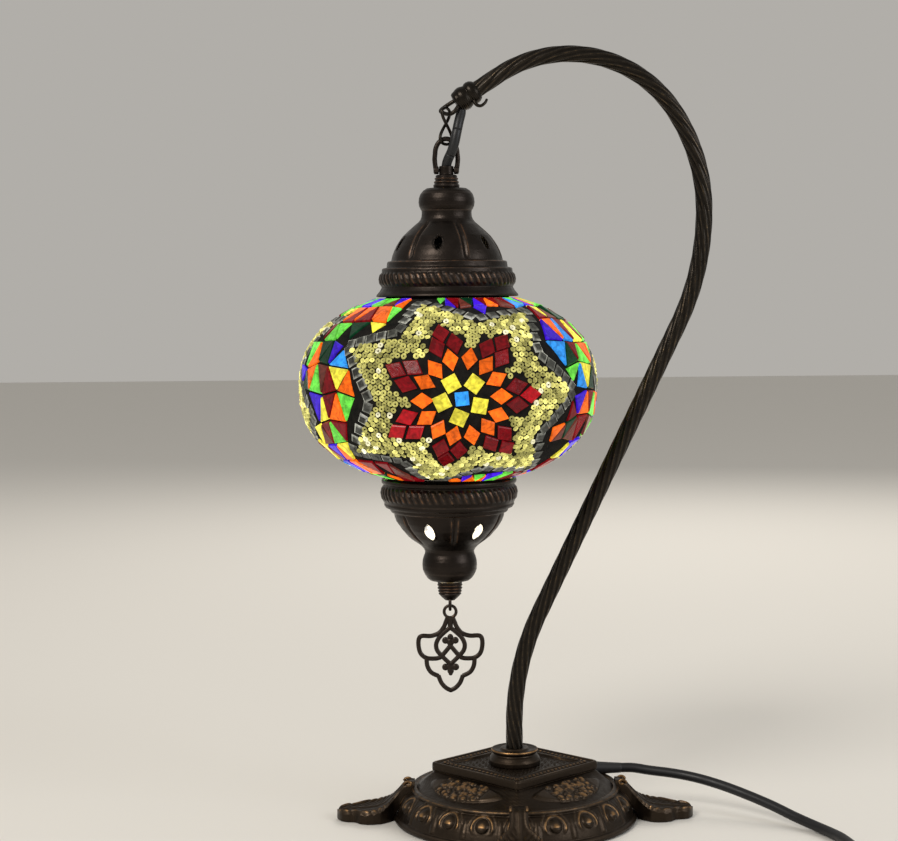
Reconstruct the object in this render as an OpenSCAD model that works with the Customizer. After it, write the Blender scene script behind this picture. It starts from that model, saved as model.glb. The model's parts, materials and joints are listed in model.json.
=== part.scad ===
// Mosaic glass table lamp with a swan-neck arm and a hanging shade.
// Millimetres, +Z up. Origin: centre of the base, on the surface the lamp stands on.
// +X is the side the arm bows towards, and -Y is the front.

/* [Base] */
// Radius of the round foot ring
ring_r = 69; // [66:0.5:72]
// Height of the diamond-shaped top plate
plate_top_z = 32; // [31:0.5:34]
// Side of the diamond-shaped top plate
plate_side = 68; // [64:1:70]
// Reach of each leaf foot from the centre
foot_reach = 101; // [98:1:105]

/* [Arm] */
// Outer radius of the arm tube
arm_r = 4.8; // [4.6:0.1:5]
// Bore radius of the arm tube
arm_bore_r = 3.6; // [3.3:0.1:3.7]
// Lean of the arm's slanted stretch, in degrees from upright
arm_lean = 26.2; // [25:0.1:27]
// Length of the arm's slanted stretch
arm_slant = 182; // [178:1:186]

/* [Hanging parts] */
// Distance of the shade's axis from the base's axis
shade_x = -36; // [-37:0.5:-35]
// Radius of the chain link's wire
link_wire_r = 0.8; // [0.7:0.05:0.85]
// Radius of the bail's wire
bail_wire_r = 1.4; // [1.2:0.1:1.4]

/* [Shade] */
// Greatest radius of the shade, with its mosaic
globe_r = 85; // [82:1:86]
// Half of the shade's height, with its mosaic
globe_half_h = 55; // [53:0.5:56]
// Thickness of the blown glass
glass_wall = 2.2; // [1.8:0.1:2.6]
// Side of one rosette tile
tile_side = 6.4; // [5:0.2:7]

/* [Pendant] */
// Thickness of the filigree drop
drop_thick = 1.8; // [1.4:0.1:1.8]
// Width of the filigree's bars
drop_bar = 2.6; // [2.2:0.1:2.8]

/* [Cord] */
// Radius of the mains cord
cord_r = 2.8; // [2.6:0.1:2.8]
// Radius of the coil at the middle of its turns
coil_r = 33.5; // [33:0.5:34]

/* [Hidden] */
$fn = 64;

// Cast base
ring_foot_z = 0.4;
ledge_z = 18.5;
ledge_r = 56.5;
body_r = 54.5;
plate_edge_z = 27;
boss_hole_r = 5.2;
foot_thick = 5.5;
post_r = 5;
post_ring_r = 50;
pilot_r = 1.65;
cover_z = 1.3;
cover_thick = 1.5;
cover_r = 61.5;
screw_head_r = 3.3;
screw_r = 1.6;

// Arm, as a run of straight and turning moves: [radius or length, turn in degrees]
arm_foot_z = 33;
arm_moves = [
    [52 - arm_foot_z, 0],
    [147, -arm_lean],
    [arm_slant, 0],
    [149, arm_lean],
    [103, 33],
    [72, 90],
    [20, 0]
];
collar_top_z = 40;
nipple_r = 4.9;
nipple_foot_z = 14;
roof_z = 24;
washer_thick = 1.6;
nut_af = 14;
nut_thick = 5;
gap = 0.05;

// Hanging parts, heights above the table
hook_wire_r = 1.2;
link_turn = 50;
link_loop_r = 4.3;
link_top_z = 405.4;
link_foot_z = 383;
bail_top_z = 387;
bail_half_w = 5.8;
bail_bend_z = 378.5;
pin_z = 369;
pin_r = 1;
pin_reach = 3.4;
stub_foot_z = 358.8;
stub_top_z = 371.5;
stub_neck_r = 4.1;

// Shade
globe_z = 246;
globe_power = 2.3;
mosaic_thick = 2.6;
neck_r = 34.8;
neck_top_z = 303;
neck_foot_z = 189;
holder_r = 13;
bulb_r = 22.5;
bulb_z = 260.5;
bulb_base_r = 6.9;
window_w = 7;
window_h = 10.5;
eye_z = 122.5;
eye_loop_r = 3.8;
eye_wire_r = 0.9;
drop_hole_z = 117.5;
drop_hole_r = 2.5;

// Cord: points laid by hand, from the gland to the switch, the coil and the plug
gland_y = 25;
gland_z = 21.5;
gland_tip_x = 63;
switch_at = [178, -137, 0];
switch_len = 62;
switch_w = 22;
switch_h = 15;
switch_cord_z = 6.5;
rocker_tilt = 9;
rocker_z = 10;
rocker_r = 7;
coil_at = [122, -152.9, 0];
coil_half_w = 8.6;
coil_h = 16.8;
plug_at = [48, -175, 7];
plug_turn = 180;
pin_spacing = 18.6;
pin_len = 19;
lamp_end_route = [
    [63, 25, 21.5], [70, 24.5, 21.5], [79, 22.5, 20.5], [93, 18.5, 19.5], [106, 13, 18],
    [119, 6, 15.5], [131, -2, 12.5], [144, -13, 9], [155, -24, 5.5], [164, -35, 3.5],
    [170, -46, 3], [174, -58, 3.2], [177, -74, 3.2], [178, -90, 4.4],
    [178, -106, 6.5]
];
middle_route = [
    [178, -168, 6.5], [177, -175, 5.5], [173, -183, 4], [166, -189, 3], [157, -192, 2.8],
    [140, -192, 2.8], [130, -192, 2.8]
];
plug_end_route = [
    [120, -192, 14], [113, -192, 13.9], [106, -191.4, 12.8], [99.5, -189.6, 10.2],
    [93.5, -186.4, 7], [88, -182.4, 4.7], [82.5, -178.6, 4.2], [77.5, -176, 5.4], [72, -175, 7]
];
drop_route = [
    [-27.4, 0, 405], [-27.4, -0.6, 401.5], [-28.6, -2.8, 396.5], [-30, -4.7, 390],
    [-31.2, -5, 384.5], [-32.8, -4.2, 379.5], [-34.8, -2, 375.4], [-35.8, -0.4, 372.4],
    [-36, 0, 369.5], [-36, 0, 366], [-36, 0, 356], [-36, 0, 345], [-36, 0, 336]
];
hook_route = [
    [-28, 2.8, 410.5], [-31, 4, 409], [-35, 4.4, 406.6], [-38.4, 3.8, 404], [-38.6, 2.4, 402.6],
    [-36, 0, 401.2], [-33.8, -2.6, 400.8], [-32.4, -4, 401.2], [-30.8, -4.2, 402.4],
    [-29, -3.4, 405]
];

// ---- Shared geometry ----

// Pose [x, z, heading] after one move, with the heading in degrees from +X
function moved(p, m) = let (s = sign(m[1]), h = p[2] + m[1]) s == 0
    ? [p[0] + m[0] * cos(h), p[1] + m[0] * sin(h), h]
    : [p[0] + s * m[0] * (sin(h) - sin(p[2])), p[1] + s * m[0] * (cos(p[2]) - cos(h)), h];
function arm_pose(i) = i == 0 ? [0, arm_foot_z, 90] : moved(arm_pose(i - 1), arm_moves[i - 1]);
arm_end = arm_pose(len(arm_moves));

// Point part of the way along one move
function along(i, t) = let (m = arm_moves[i], straight = m[1] == 0,
    p = moved(arm_pose(i), [straight ? m[0] * t : m[0], m[1] * t])) [p[0], 0, p[1]];

// The arm's centreline, with both ends run on straight by the length spare
arm_steps = [1, 5, 4, 5, 5, 9];
function arm_line(spare) = concat(
    [[0, 0, arm_foot_z - spare]],
    [for (i = [0 : len(arm_moves) - 2], k = [1 : arm_steps[i]]) along(i, k / arm_steps[i])],
    [[arm_end[0] + spare * cos(arm_end[2]), 0, arm_end[1] + spare * sin(arm_end[2])]]
);

module ring_2d(outer, inner) {
    difference() {
        circle(r = outer);
        circle(r = inner);
    }
}

module tube(outer, inner, h) {
    linear_extrude(h) ring_2d(outer, inner);
}

// Frame on the arm's end: +Z runs on past the end of the tube
module at_arm_end() {
    translate([arm_end[0], 0, arm_end[1]]) rotate([0, 90 - arm_end[2], 0]) children();
}

module at_shade() {
    translate([shade_x, 0, 0]) children();
}

module turned(profile) {
    rotate_extrude() polygon(profile);
}

module hex_nut(af, hole_r, h) {
    difference() {
        cylinder(r = af / sqrt(3), h = h, $fn = 6);
        translate([0, 0, -1]) cylinder(r = hole_r, h = h + 2);
    }
}

// Tube swept along points: a ring of sides at each point, and flat ends
function unit(v) = v / norm(v);
function ahead(p, i) = unit(p[min(i + 1, len(p) - 1)] - p[max(i - 1, 0)]);
function side_of(t) = unit(abs(t[2]) > 0.9 ? cross(t, [0, 1, 0]) : cross(t, [0, 0, 1]));
// Each ring's side direction is carried on from the ring before, so the tube never twists
function carried(p) = [
    for (i = 0, s = side_of(ahead(p, 0)); i < len(p);
        i = i + 1, s = i < len(p) ? unit(s - (s * ahead(p, i)) * ahead(p, i)) : s) s
];
// One ring of points for each point of the path
function rings_of(p, r, sides) = let (s = carried(p)) [
    for (i = [0 : len(p) - 1], k = [0 : sides - 1])
        let (a = 360 * k / sides, u = s[i], v = cross(ahead(p, i), u))
        p[i] + r * (cos(a) * u + sin(a) * v)
];
// Faces that join each ring to the next, for rings stored from index first on
function walls_of(n, sides, first = 0) = [
    for (i = [0 : n - 2], k = [0 : sides - 1])
        let (a = first + i * sides + k, b = first + i * sides + (k + 1) % sides)
        each [[a, a + sides, b + sides], [a, b + sides, b]]
];
module swept(p, r, sides = 8) {
    last = (len(p) - 1) * sides;
    polyhedron(rings_of(p, r, sides), concat(walls_of(len(p), sides),
        [[for (k = [0 : sides - 1]) k]],
        [[for (k = [sides - 1 : -1 : 0]) last + k]]));
}

// The same with a bore, its two ends open rings
module swept_tube(p, outer, inner, sides = 16) {
    n = len(p) * sides;
    last = n - sides;
    polyhedron(concat(rings_of(p, outer, sides), rings_of(p, inner, sides)), concat(
        walls_of(len(p), sides),
        [for (f = walls_of(len(p), sides, n)) [f[2], f[1], f[0]]],
        [for (k = [0 : sides - 1]) let (m = (k + 1) % sides)
            each [[k, m, n + m], [k, n + m, n + k], [last + m, last + k, n + last + k],
                [last + m, n + last + k, n + last + m]]]
    ));
}

// Closed loop of wire through points, the last joined to the first
function wrapped(p, i) = p[(i + len(p)) % len(p)];
module swept_loop(p, r, sides = 10) {
    n = len(p);
    rings = [
        for (i = [0 : n - 1])
            let (t = unit(wrapped(p, i + 1) - wrapped(p, i - 1)), u = unit(cross(t, [0, 1, 0])))
            for (k = [0 : sides - 1])
                let (a = 360 * k / sides) p[i] + r * (cos(a) * u + sin(a) * cross(t, u))
    ];
    polyhedron(rings, [
        for (i = [0 : n - 1], k = [0 : sides - 1])
            let (a = i * sides + k, b = i * sides + (k + 1) % sides,
                c = ((i + 1) % n) * sides + k, d = ((i + 1) % n) * sides + (k + 1) % sides)
            each [[a, c, d], [a, d, b]]
    ]);
}

// ---- Base ----

// Casting, hollow beneath, with four leaf feet under the corners of its diamond plate
module base_casting() color([0.16, 0.12, 0.09]) difference() {
    union() {
        turned([
            [0, ring_foot_z], [ring_r - 0.5, ring_foot_z], [ring_r, 1.2], [ring_r, 2.6],
            [ring_r - 2, 3.6], [ring_r - 3, 8], [ring_r - 6, 12.5], [ring_r - 10.5, 16],
            [ledge_r, ledge_z - 1], [ledge_r - 0.6, ledge_z + 0.6], [0, ledge_z + 0.6]
        ]);
        hull() {
            translate([0, 0, ledge_z]) cylinder(r = body_r, h = 0.5);
            translate([0, 0, plate_edge_z]) rotate(45)
                cube([plate_side - 3, plate_side - 3, 0.2], center = true);
        }
        translate([0, 0, plate_edge_z - 0.5]) rotate(45) linear_extrude(4)
            square(plate_side, center = true);
        translate([0, 0, plate_top_z - 2]) rotate(45) linear_extrude(2) difference() {
            square(plate_side - 1, center = true);
            square(plate_side - 18, center = true);
        }
        for (a = [0 : 90 : 270]) rotate(a) leaf_foot();
    }
    difference() {
        turned([
            [0, -1], [62, -1], [62, 4], [60, 9], [52, 15.5], [46, 16], [33, roof_z], [0, roof_z]
        ]);
        for (a = [45 : 90 : 315]) rotate(a) translate([post_ring_r, 0, cover_z + cover_thick])
            cylinder(r = post_r, h = 20);
    }
    for (a = [45 : 90 : 315]) rotate(a) translate([post_ring_r, 0, 0]) cylinder(r = pilot_r, h = 13);
    translate([0, 0, roof_z - 5]) cylinder(r = boss_hole_r, h = 20);
    translate([20, gland_y, gland_z]) rotate([0, 90, 0]) cylinder(r = 3.65, h = 30);
}

// One foot along +X: three lobes flat on the table, and a rib that climbs to the ledge
module leaf_foot() {
    linear_extrude(foot_thick) {
        translate([foot_reach - 8.5, 0]) circle(r = 8.5);
        for (s = [-1, 1]) translate([foot_reach - 18, s * 8.5]) circle(r = 6.5);
        translate([foot_reach - 34, -8]) square([26, 16]);
    }
    rotate([90, 0, 0]) translate([0, 0, -5]) linear_extrude(10) polygon([
        [54, 4], [foot_reach - 10, 4], [foot_reach - 12, 7], [foot_reach - 22, 8],
        [foot_reach - 30, 12], [foot_reach - 38, 19.5], [59, 21.8], [54, 21]
    ]);
}

module base_cover() color([0.3, 0.3, 0.3]) difference() {
    translate([0, 0, cover_z]) cylinder(r = cover_r, h = cover_thick);
    for (a = [45 : 90 : 315]) rotate(a) translate([post_ring_r, 0, 0]) {
        cylinder(r = 1.8, h = 5);
        cylinder(r = screw_head_r + 0.2, h = cover_z + 0.9);
    }
}

module felt_pad() color([0.05, 0.2, 0.1])
    cylinder(r = cover_r, h = cover_z - gap);

module cover_screws() color([0.6, 0.6, 0.6])
    for (a = [45 : 90 : 315]) rotate(a) translate([post_ring_r, 0, cover_z]) {
        cylinder(r = screw_head_r, h = 0.85);
        cylinder(r = screw_r, h = 10);
    }

// ---- Arm ----

module arm_collar() color([0.2, 0.15, 0.1]) difference() {
    translate([0, 0, plate_top_z]) turned([
        [0, gap - 1.5], [14.4, gap - 1.5], [14.4, 1.5], [13.6, 3], [12.2, 4.4], [12.2, 5], [13.1, 5.4],
        [13.1, 6.6], [12.4, 7.1], [8.4, 7], [8, 7.8], [7, collar_top_z - plate_top_z],
        [0, collar_top_z - plate_top_z]
    ]);
    translate([0, 0, plate_top_z - 3]) cylinder(r = nipple_r + gap, h = 12);
}

module arm_nipple() color([0.7, 0.6, 0.3]) translate([0, 0, nipple_foot_z])
    tube(nipple_r, arm_bore_r, arm_foot_z - nipple_foot_z - gap);

module arm_washer() color([0.7, 0.7, 0.7]) translate([0, 0, roof_z - washer_thick - gap])
    tube(10, nipple_r + 0.1, washer_thick);

module arm_nut() color([0.7, 0.6, 0.3])
    translate([0, 0, roof_z - washer_thick - nut_thick - 2 * gap])
        hex_nut(nut_af, nipple_r + gap, nut_thick);

module arm_tube() color([0.15, 0.11, 0.09]) swept_tube(arm_line(0), arm_r, arm_bore_r);

// Beaded sleeve crimped on the arm's end, with a hole beneath for the cable
module arm_ferrule() color([0.2, 0.15, 0.1]) difference() {
    at_arm_end() turned([
        [arm_r + gap, -5], [5.6, -5], [6.8, -3], [6.9, -1], [6, 1], [6.6, 2.4], [7, 4.4],
        [6.6, 6.6], [6.2, 7.4], [6.2, 8.2], [5, 9.8], [0, 9.8], [0, gap], [arm_r + gap, gap]
    ]);
    translate([drop_route[0][0], 0, drop_route[0][2] - 8]) cylinder(r = cord_r + 0.4, h = 9);
}

// Eye of stout wire that carries the chain link
module hook() color([0.15, 0.11, 0.09]) swept(hook_route, hook_wire_r, 12);

// Stretch of the cord that runs up inside the arm
module arm_cable() color([0.1, 0.1, 0.1]) swept(concat(
    [[0, 0, nipple_foot_z + 1], [0, 0, roof_z]], arm_line(-6)
), cord_r, 8);

module cord_gland() color([0.08, 0.08, 0.08]) translate([0, gland_y, gland_z]) rotate([0, 90, 0]) {
    translate([0, 0, 29]) cylinder(r = 3.6, h = 15);
    translate([0, 0, 42]) cylinder(r1 = 4.4, r2 = 3.1, h = gland_tip_x - 42);
}

// ---- Hanging parts ----

// Figure-eight link of round wire, its two strands passing at the waist
function link_point(a) = let (h = (link_top_z - link_foot_z) / 2 - link_wire_r)
    [link_loop_r * sin(2 * a), 1.05 * cos(a), h * sin(a)];
module chain_link() color([0.15, 0.11, 0.09])
    translate([shade_x, 0, (link_top_z + link_foot_z) / 2]) rotate(link_turn)
        swept_loop([for (i = [0 : 47]) link_point(i * 7.5)], link_wire_r);

// Stirrup that the shade hangs in, with two short pivot pins
module bail() color([0.15, 0.11, 0.09]) at_shade() {
    swept(concat(
        [[-bail_half_w, 0, pin_z - 0.6]],
        [for (a = [180 : -15 : 0]) [bail_half_w * cos(a), 0,
            bail_bend_z + (bail_top_z - bail_bend_z) * sin(a)]],
        [[bail_half_w, 0, pin_z - 0.6]]
    ), bail_wire_r, 12);
    for (s = [-1, 1]) translate([s * pin_reach, 0, pin_z]) rotate([0, s * 90, 0])
        cylinder(r = pin_r, h = bail_half_w + 1.1 - pin_reach);
}

// Bell-shaped stub on top of the cap, cross-drilled for the bail's pins
module cap_stub() color([0.18, 0.13, 0.1]) at_shade() difference() {
    turned([
        [0, stub_foot_z + gap], [7.4, stub_foot_z + gap], [7.3, 360.5], [6.4, 364], [6, 366.2],
        [stub_neck_r, 366.6], [stub_neck_r, stub_top_z], [0, stub_top_z]
    ]);
    translate([0, 0, stub_foot_z - 1]) cylinder(r = nipple_r + gap, h = 6);
    translate([0, 0, stub_foot_z]) cylinder(r = cord_r + 0.5, h = 20);
    translate([-10, 0, pin_z]) rotate([0, 90, 0]) cylinder(r = pin_r + gap, h = 20);
}

// ---- Shade ----

module almond(w, h) {
    r = (w * w + h * h) / (4 * w);
    intersection() {
        translate([0, r - w / 2]) circle(r = r);
        translate([0, w / 2 - r]) circle(r = r);
    }
}

// Six almond windows, cut square to a wall that leans by tilt degrees
module windows(first, r, z, tilt) {
    for (a = [first : 60 : first + 300]) rotate(a) translate([r, 0, z]) rotate([0, 90 - tilt, 0])
        linear_extrude(9, center = true) almond(window_w, window_h);
}

module upper_cap() color([0.18, 0.13, 0.1]) at_shade() difference() {
    turned([
        [40.6, 297.4], [40.2, 298.4], [38.2, 300.5], [37.2, 302.7], [38.6, 305], [38.9, 307.2],
        [38.4, 309.4], [37.1, 311], [37.1, 313], [34.4, 314], [34.2, 317], [31.8, 317.6],
        [31, 320], [29.7, 323], [27, 328.3], [24.5, 331.5], [22, 334], [18.5, 337], [15.6, 340],
        [14.3, 342], [14.1, 346], [15, 347.2], [15.9, 349.5], [15.9, 352], [15, 355],
        [13.2, 357.4], [11.2, 358.8], [5.1, 358.8], [5.1, 357.2], [10.6, 357.2], [12.6, 355.8],
        [14.2, 352], [14.2, 350], [12.7, 346.6], [12.8, 341.6], [14.2, 338.6], [20.8, 332.8],
        [25.8, 327.2], [28.4, 322], [30.4, 316.6], [32.8, 316], [32.8, 313.2], [35.6, 312.2],
        [36.6, 307], [36, 303], [39.2, 297.4]
    ]);
    windows(20, 27.4, 327, 34);
}

module cap_nipple() color([0.7, 0.6, 0.3]) at_shade() translate([0, 0, 336])
    tube(nipple_r, cord_r + 0.4, 27);

module cap_nut() color([0.7, 0.6, 0.3]) at_shade() translate([0, 0, 352])
    hex_nut(nut_af, nipple_r + gap, 357.1 - 352);

module lamp_holder() color([0.08, 0.08, 0.08]) at_shade() difference() {
    turned([
        [0, 292], [11.5, 292], [11.5, 298], [holder_r, 298.5], [holder_r, 327], [8, 333],
        [7.5, 341], [0, 341]
    ]);
    translate([0, 0, 280]) cylinder(r = bulb_base_r + 0.2, h = 37);
    translate([0, 0, 335.9]) cylinder(r = nipple_r + gap, h = 10);
    translate([0, 0, 316]) cylinder(r = cord_r + 0.4, h = 25);
}

module holder_ring() color([0.12, 0.12, 0.12]) at_shade() translate([0, 0, 299])
    tube(17, holder_r + gap, 4);

module bulb_base() color([0.7, 0.7, 0.7]) at_shade() {
    translate([0, 0, 289]) cylinder(r = bulb_base_r, h = 22);
    translate([0, 0, 311]) cylinder(r1 = bulb_base_r, r2 = 2, h = 4);
}

module bulb_glass() color([1, 0.95, 0.8]) at_shade() {
    translate([0, 0, bulb_z]) sphere(r = bulb_r);
    translate([0, 0, bulb_z + 18]) cylinder(r1 = 13.5, r2 = 7, h = 289 - gap - bulb_z - 18);
}

// Ventilated plate that the holder clamps on the glass neck, and its three spring clips
module globe_carrier() color([0.6, 0.6, 0.6]) at_shade() translate([0, 0, neck_top_z + gap])
    linear_extrude(1.2) difference() {
        circle(r = 35.2);
        circle(r = holder_r + 0.3);
        for (a = [30 : 60 : 330]) rotate(a) translate([23, 0]) circle(r = 5);
    }

module spring_clips() color([0.7, 0.7, 0.7]) at_shade() for (a = [0 : 120 : 240]) rotate(a)
    rotate([90, 0, 0]) translate([0, 0, -4]) linear_extrude(8) polygon([
        [29.5, neck_top_z], [30.7, neck_top_z], [30.7, 294], [36, 287.5], [35.2, 286.8], [29.5, 293.4]
    ]);

// Outline from the equator up to radius r_end of a rounded body of radius a and half height b
function dome_line(a, b, r_end, steps) = let (last = acos(pow(r_end / a, globe_power / 2)))
    [for (i = [0 : steps]) let (t = last * i / steps)
        [a * pow(cos(t), 2 / globe_power), b * pow(sin(t), 2 / globe_power)]];
function flipped(p) = [for (i = [len(p) - 1 : -1 : 0]) [p[i][0], -p[i][1]]];
function backward(p) = [for (i = [len(p) - 1 : -1 : 0]) p[i]];
// Outline from the lower edge over the belly to the upper edge
function belly(a, b, r_end, steps = 12) = let (up = dome_line(a, b, r_end, steps))
    concat([for (i = [0 : steps - 1]) flipped(up)[i]], up);

glass_r = globe_r - mosaic_thick;
glass_half_h = globe_half_h - mosaic_thick + 0.2;
module glass_globe() color([0.9, 0.9, 0.85, 0.4]) at_shade() translate([0, 0, globe_z]) turned(concat(
    [[neck_r, neck_foot_z - globe_z]],
    belly(glass_r, glass_half_h, neck_r),
    [[neck_r, neck_top_z - globe_z], [neck_r - glass_wall, neck_top_z - globe_z]],
    backward(belly(glass_r - glass_wall, glass_half_h - glass_wall, neck_r - glass_wall)),
    [[neck_r - glass_wall, neck_foot_z - globe_z]]
));

module mosaic_grout() color([0.1, 0.1, 0.1]) at_shade() translate([0, 0, globe_z]) turned(concat(
    belly(globe_r - 0.6, globe_half_h - 0.6, 37.6),
    backward(belly(glass_r + gap, glass_half_h + gap, 37.6))
));

// Rosette of square tiles set on edge: [number, distance from the centre, colour]
rosette = [
    [1, 0, [0.1, 0.5, 0.8]],
    [5, 11, [0.9, 0.85, 0.1]],
    [7, 20, [1, 0.4, 0.05]],
    [7, 28, [1, 0.4, 0.05]],
    [14, 35, [0.5, 0, 0.02]],
    [7, 43, [0.6, 0, 0.04]]
];
// Place children on the mosaic, u along the girth and v up it, square to the surface
module on_globe(u, v) {
    t = v / globe_half_h * 50;
    r = globe_r * pow(cos(t), 2 / globe_power);
    z = sign(v) * globe_half_h * pow(sin(abs(t)), 2 / globe_power);
    lean = atan2(sign(v) * pow(abs(z) / globe_half_h, globe_power - 1) / globe_half_h,
        pow(r / globe_r, globe_power - 1) / globe_r);
    rotate(u / globe_r * 180 / PI) translate([r, 0, z]) rotate([0, 90 - lean, 0]) children();
}
module rosette_tiles() at_shade() translate([0, 0, globe_z])
    for (m = [-85 : 120 : 155], row = rosette, k = [0 : row[0] - 1])
        let (a = 360 * k / row[0] + (row[0] == 14 ? 13 : 0) + (row[1] == 20 ? 25.7 : 0))
        rotate(m) on_globe(row[1] * sin(a), row[1] * cos(a)) rotate(45) color(row[2])
            translate([0, 0, -0.5]) cube([tile_side, tile_side, 1.2] * (row[1] == 0 ? 1 : 0.86),
                center = true);

module lower_cap() color([0.18, 0.13, 0.1]) at_shade() difference() {
    turned([
        [36.8, 194], [38.4, 194], [38.4, 191.4], [36.9, 190.4], [38.3, 188.6], [38.9, 186],
        [38.3, 182.5], [36.9, 180.4], [36.7, 178], [33.6, 177], [33.3, 175.2], [31.2, 174.6],
        [29.8, 170.6], [27, 165.9], [22.9, 161.2], [18.4, 157.4], [15.2, 154.6], [13.9, 152.6],
        [13.9, 151], [15, 148.4], [15.5, 145.5], [15.4, 142.2], [14, 139.2], [11.6, 135.6],
        [3.1, 134.6], [3.1, 136.6], [10.8, 137.2], [12.6, 140], [13.9, 142.6], [14, 145.5],
        [12.5, 151], [12.5, 152.6], [13.6, 155.4], [17.4, 158.6], [21.8, 162.4], [25.8, 167],
        [28.4, 171.2], [29.8, 175.4], [31.6, 176], [32.2, 178.2], [35.2, 179.4], [35.4, 181.6],
        [36.9, 186], [35.6, 190.5]
    ]);
    windows(6, 25, 163.6, -41);
}

// Sprung crossbar in the shade's lower neck, and the rod that draws the cap up to it
module lower_clip() color([0.7, 0.7, 0.7]) at_shade() difference() {
    union() {
        translate([-32, -5, 192]) cube([64, 10, 1.2]);
        for (s = [-1, 1]) translate([s * 31.3 - 0.6, -5, 192]) cube([1.2, 10, 8]);
    }
    translate([0, 0, 190]) cylinder(r = 2.1, h = 5);
}

module lower_rod() color([0.7, 0.6, 0.3]) at_shade() {
    translate([0, 0, 129]) cylinder(r = 2, h = 67);
    translate([0, 0, 193.3]) hex_nut(7, 2, 2.5);
}

module bottom_finial() color([0.18, 0.13, 0.1]) at_shade() {
    difference() {
        turned([
            [0, 124], [2.8, 124], [4.4, 125.6], [5.7, 127], [6.6, 128], [6.4, 129.2], [6.8, 130.4],
            [6.6, 131.6], [7, 132.8], [7, 134.5], [0, 134.5]
        ]);
        translate([0, 0, 129]) cylinder(r = 2 + gap, h = 10);
    }
    translate([0, 0, eye_z]) rotate([0, 90, 0]) rotate_extrude() translate([eye_loop_r, 0])
        circle(r = eye_wire_r);
}

// ---- Pendant ----

function arc_2d(c, r, a0, a1, steps = 5) = [
    for (i = [0 : steps]) let (a = a0 + (a1 - a0) * i / steps) c + r * [cos(a), sin(a)]
];
// Loop whose right half is given from top to bottom, moved outwards by d
function loop_2d(half, d) = let (
    p = concat(half, [for (i = [len(half) - 2 : -1 : 1]) [-half[i][0], half[i][1]]])
) [for (i = [0 : len(p) - 1]) let (t = unit(wrapped(p, i + 1) - wrapped(p, i - 1)))
    p[i] + d * [-t[1], t[0]]];
module band_2d(half) {
    difference() {
        polygon(loop_2d(half, drop_bar / 2));
        polygon(loop_2d(half, -drop_bar / 2));
    }
}

// Openwork drop, drawn about the point beneath its ring's hole
module pendant() color([0.18, 0.13, 0.1]) translate([shade_x, drop_thick / 2, drop_hole_z])
    rotate([90, 0, 0]) linear_extrude(drop_thick) {
        ring_2d(4.4, drop_hole_r);
        translate([-drop_bar / 2, -9.5]) square([drop_bar, 6.5]);
        translate([-drop_bar / 2, -34]) square([drop_bar, 9]);
        band_2d(concat([[0, -9]], arc_2d([1.8, -16], 4, 60, 10), arc_2d([3.5, -22], 6, 40, -50),
            [[0, -34]]));
        band_2d(concat([[0, -11.5]], arc_2d([11.5, -16.5], 5.8, 140, -50, 7), [[12.6, -23.2]],
            arc_2d([12, -28], 4.2, 60, -60, 4), [[8.2, -32.6]], arc_2d([0, -38], 7, 25, -90, 6)));
        band_2d([[0, -16.5], [2.9, -20.8], [0, -25.4]]);
    }

// ---- Cord ----

module drop_cable() color([0.1, 0.1, 0.1]) swept(drop_route, cord_r, 10);

module mains_cord_lamp_end() color([0.1, 0.1, 0.1]) swept(lamp_end_route, cord_r, 8);

module mains_cord_middle() color([0.1, 0.1, 0.1]) swept(middle_route, cord_r, 8);

module mains_cord_plug_end() color([0.1, 0.1, 0.1]) swept(plug_end_route, cord_r, 8);

module cord_coil() color([0.1, 0.1, 0.1]) translate(coil_at) rotate_extrude()
    translate([coil_r - coil_half_w, 0]) square([2 * coil_half_w, coil_h]);

// Inline switch: two halves that part at the cord's height, and a rocker between the upper walls
module switch_outline(inset) {
    intersection() {
        square([switch_w - 2 * inset, switch_len - 2 * inset], center = true);
        circle(r = switch_len / 2 - inset);
    }
}

module switch_base() color([0.09, 0.09, 0.09]) translate(switch_at)
    linear_extrude(switch_cord_z - gap) switch_outline(0);

module switch_cover() color([0.09, 0.09, 0.09]) translate(switch_at) difference() {
    translate([0, 0, switch_cord_z]) linear_extrude(switch_h - switch_cord_z) switch_outline(0);
    translate([-6.5, -9.5, switch_cord_z - 1]) cube([13, 19, switch_h]);
}

module switch_rocker() color([0.6, 0.05, 0.05]) translate(switch_at) translate([0, 0, rocker_z])
    rotate([rocker_tilt, 0, 0]) difference() {
        rotate([0, 90, 0]) translate([0, 0, -6]) cylinder(r = rocker_r, h = 12);
        rotate([0, 90, 0]) translate([-rocker_r - 9.6, 0, -7]) cylinder(r = rocker_r + 4.2, h = 14);
        translate([-7, -10, -10]) cube([14, 20, 8.2]);
    }

module at_plug() {
    translate(plug_at) rotate(plug_turn) children();
}

// Flat two-pin plug, its cord entering at one end
module plug_body() color([0.09, 0.09, 0.09]) at_plug() {
    translate([-9, 0, -7]) linear_extrude(14) polygon([
        [-9, -8], [4, -17], [14, -17.5], [14, 17.5], [4, 17], [-9, 8]
    ]);
    translate([-24, 0, 0]) rotate([0, 90, 0]) cylinder(r1 = 3.4, r2 = 5, h = 8);
}

module plug_pins() color([0.75, 0.75, 0.75]) at_plug()
    for (s = [-1, 1]) translate([5 + gap, s * pin_spacing / 2, 0]) rotate([0, 90, 0])
        cylinder(r = 2, h = pin_len);

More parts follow.
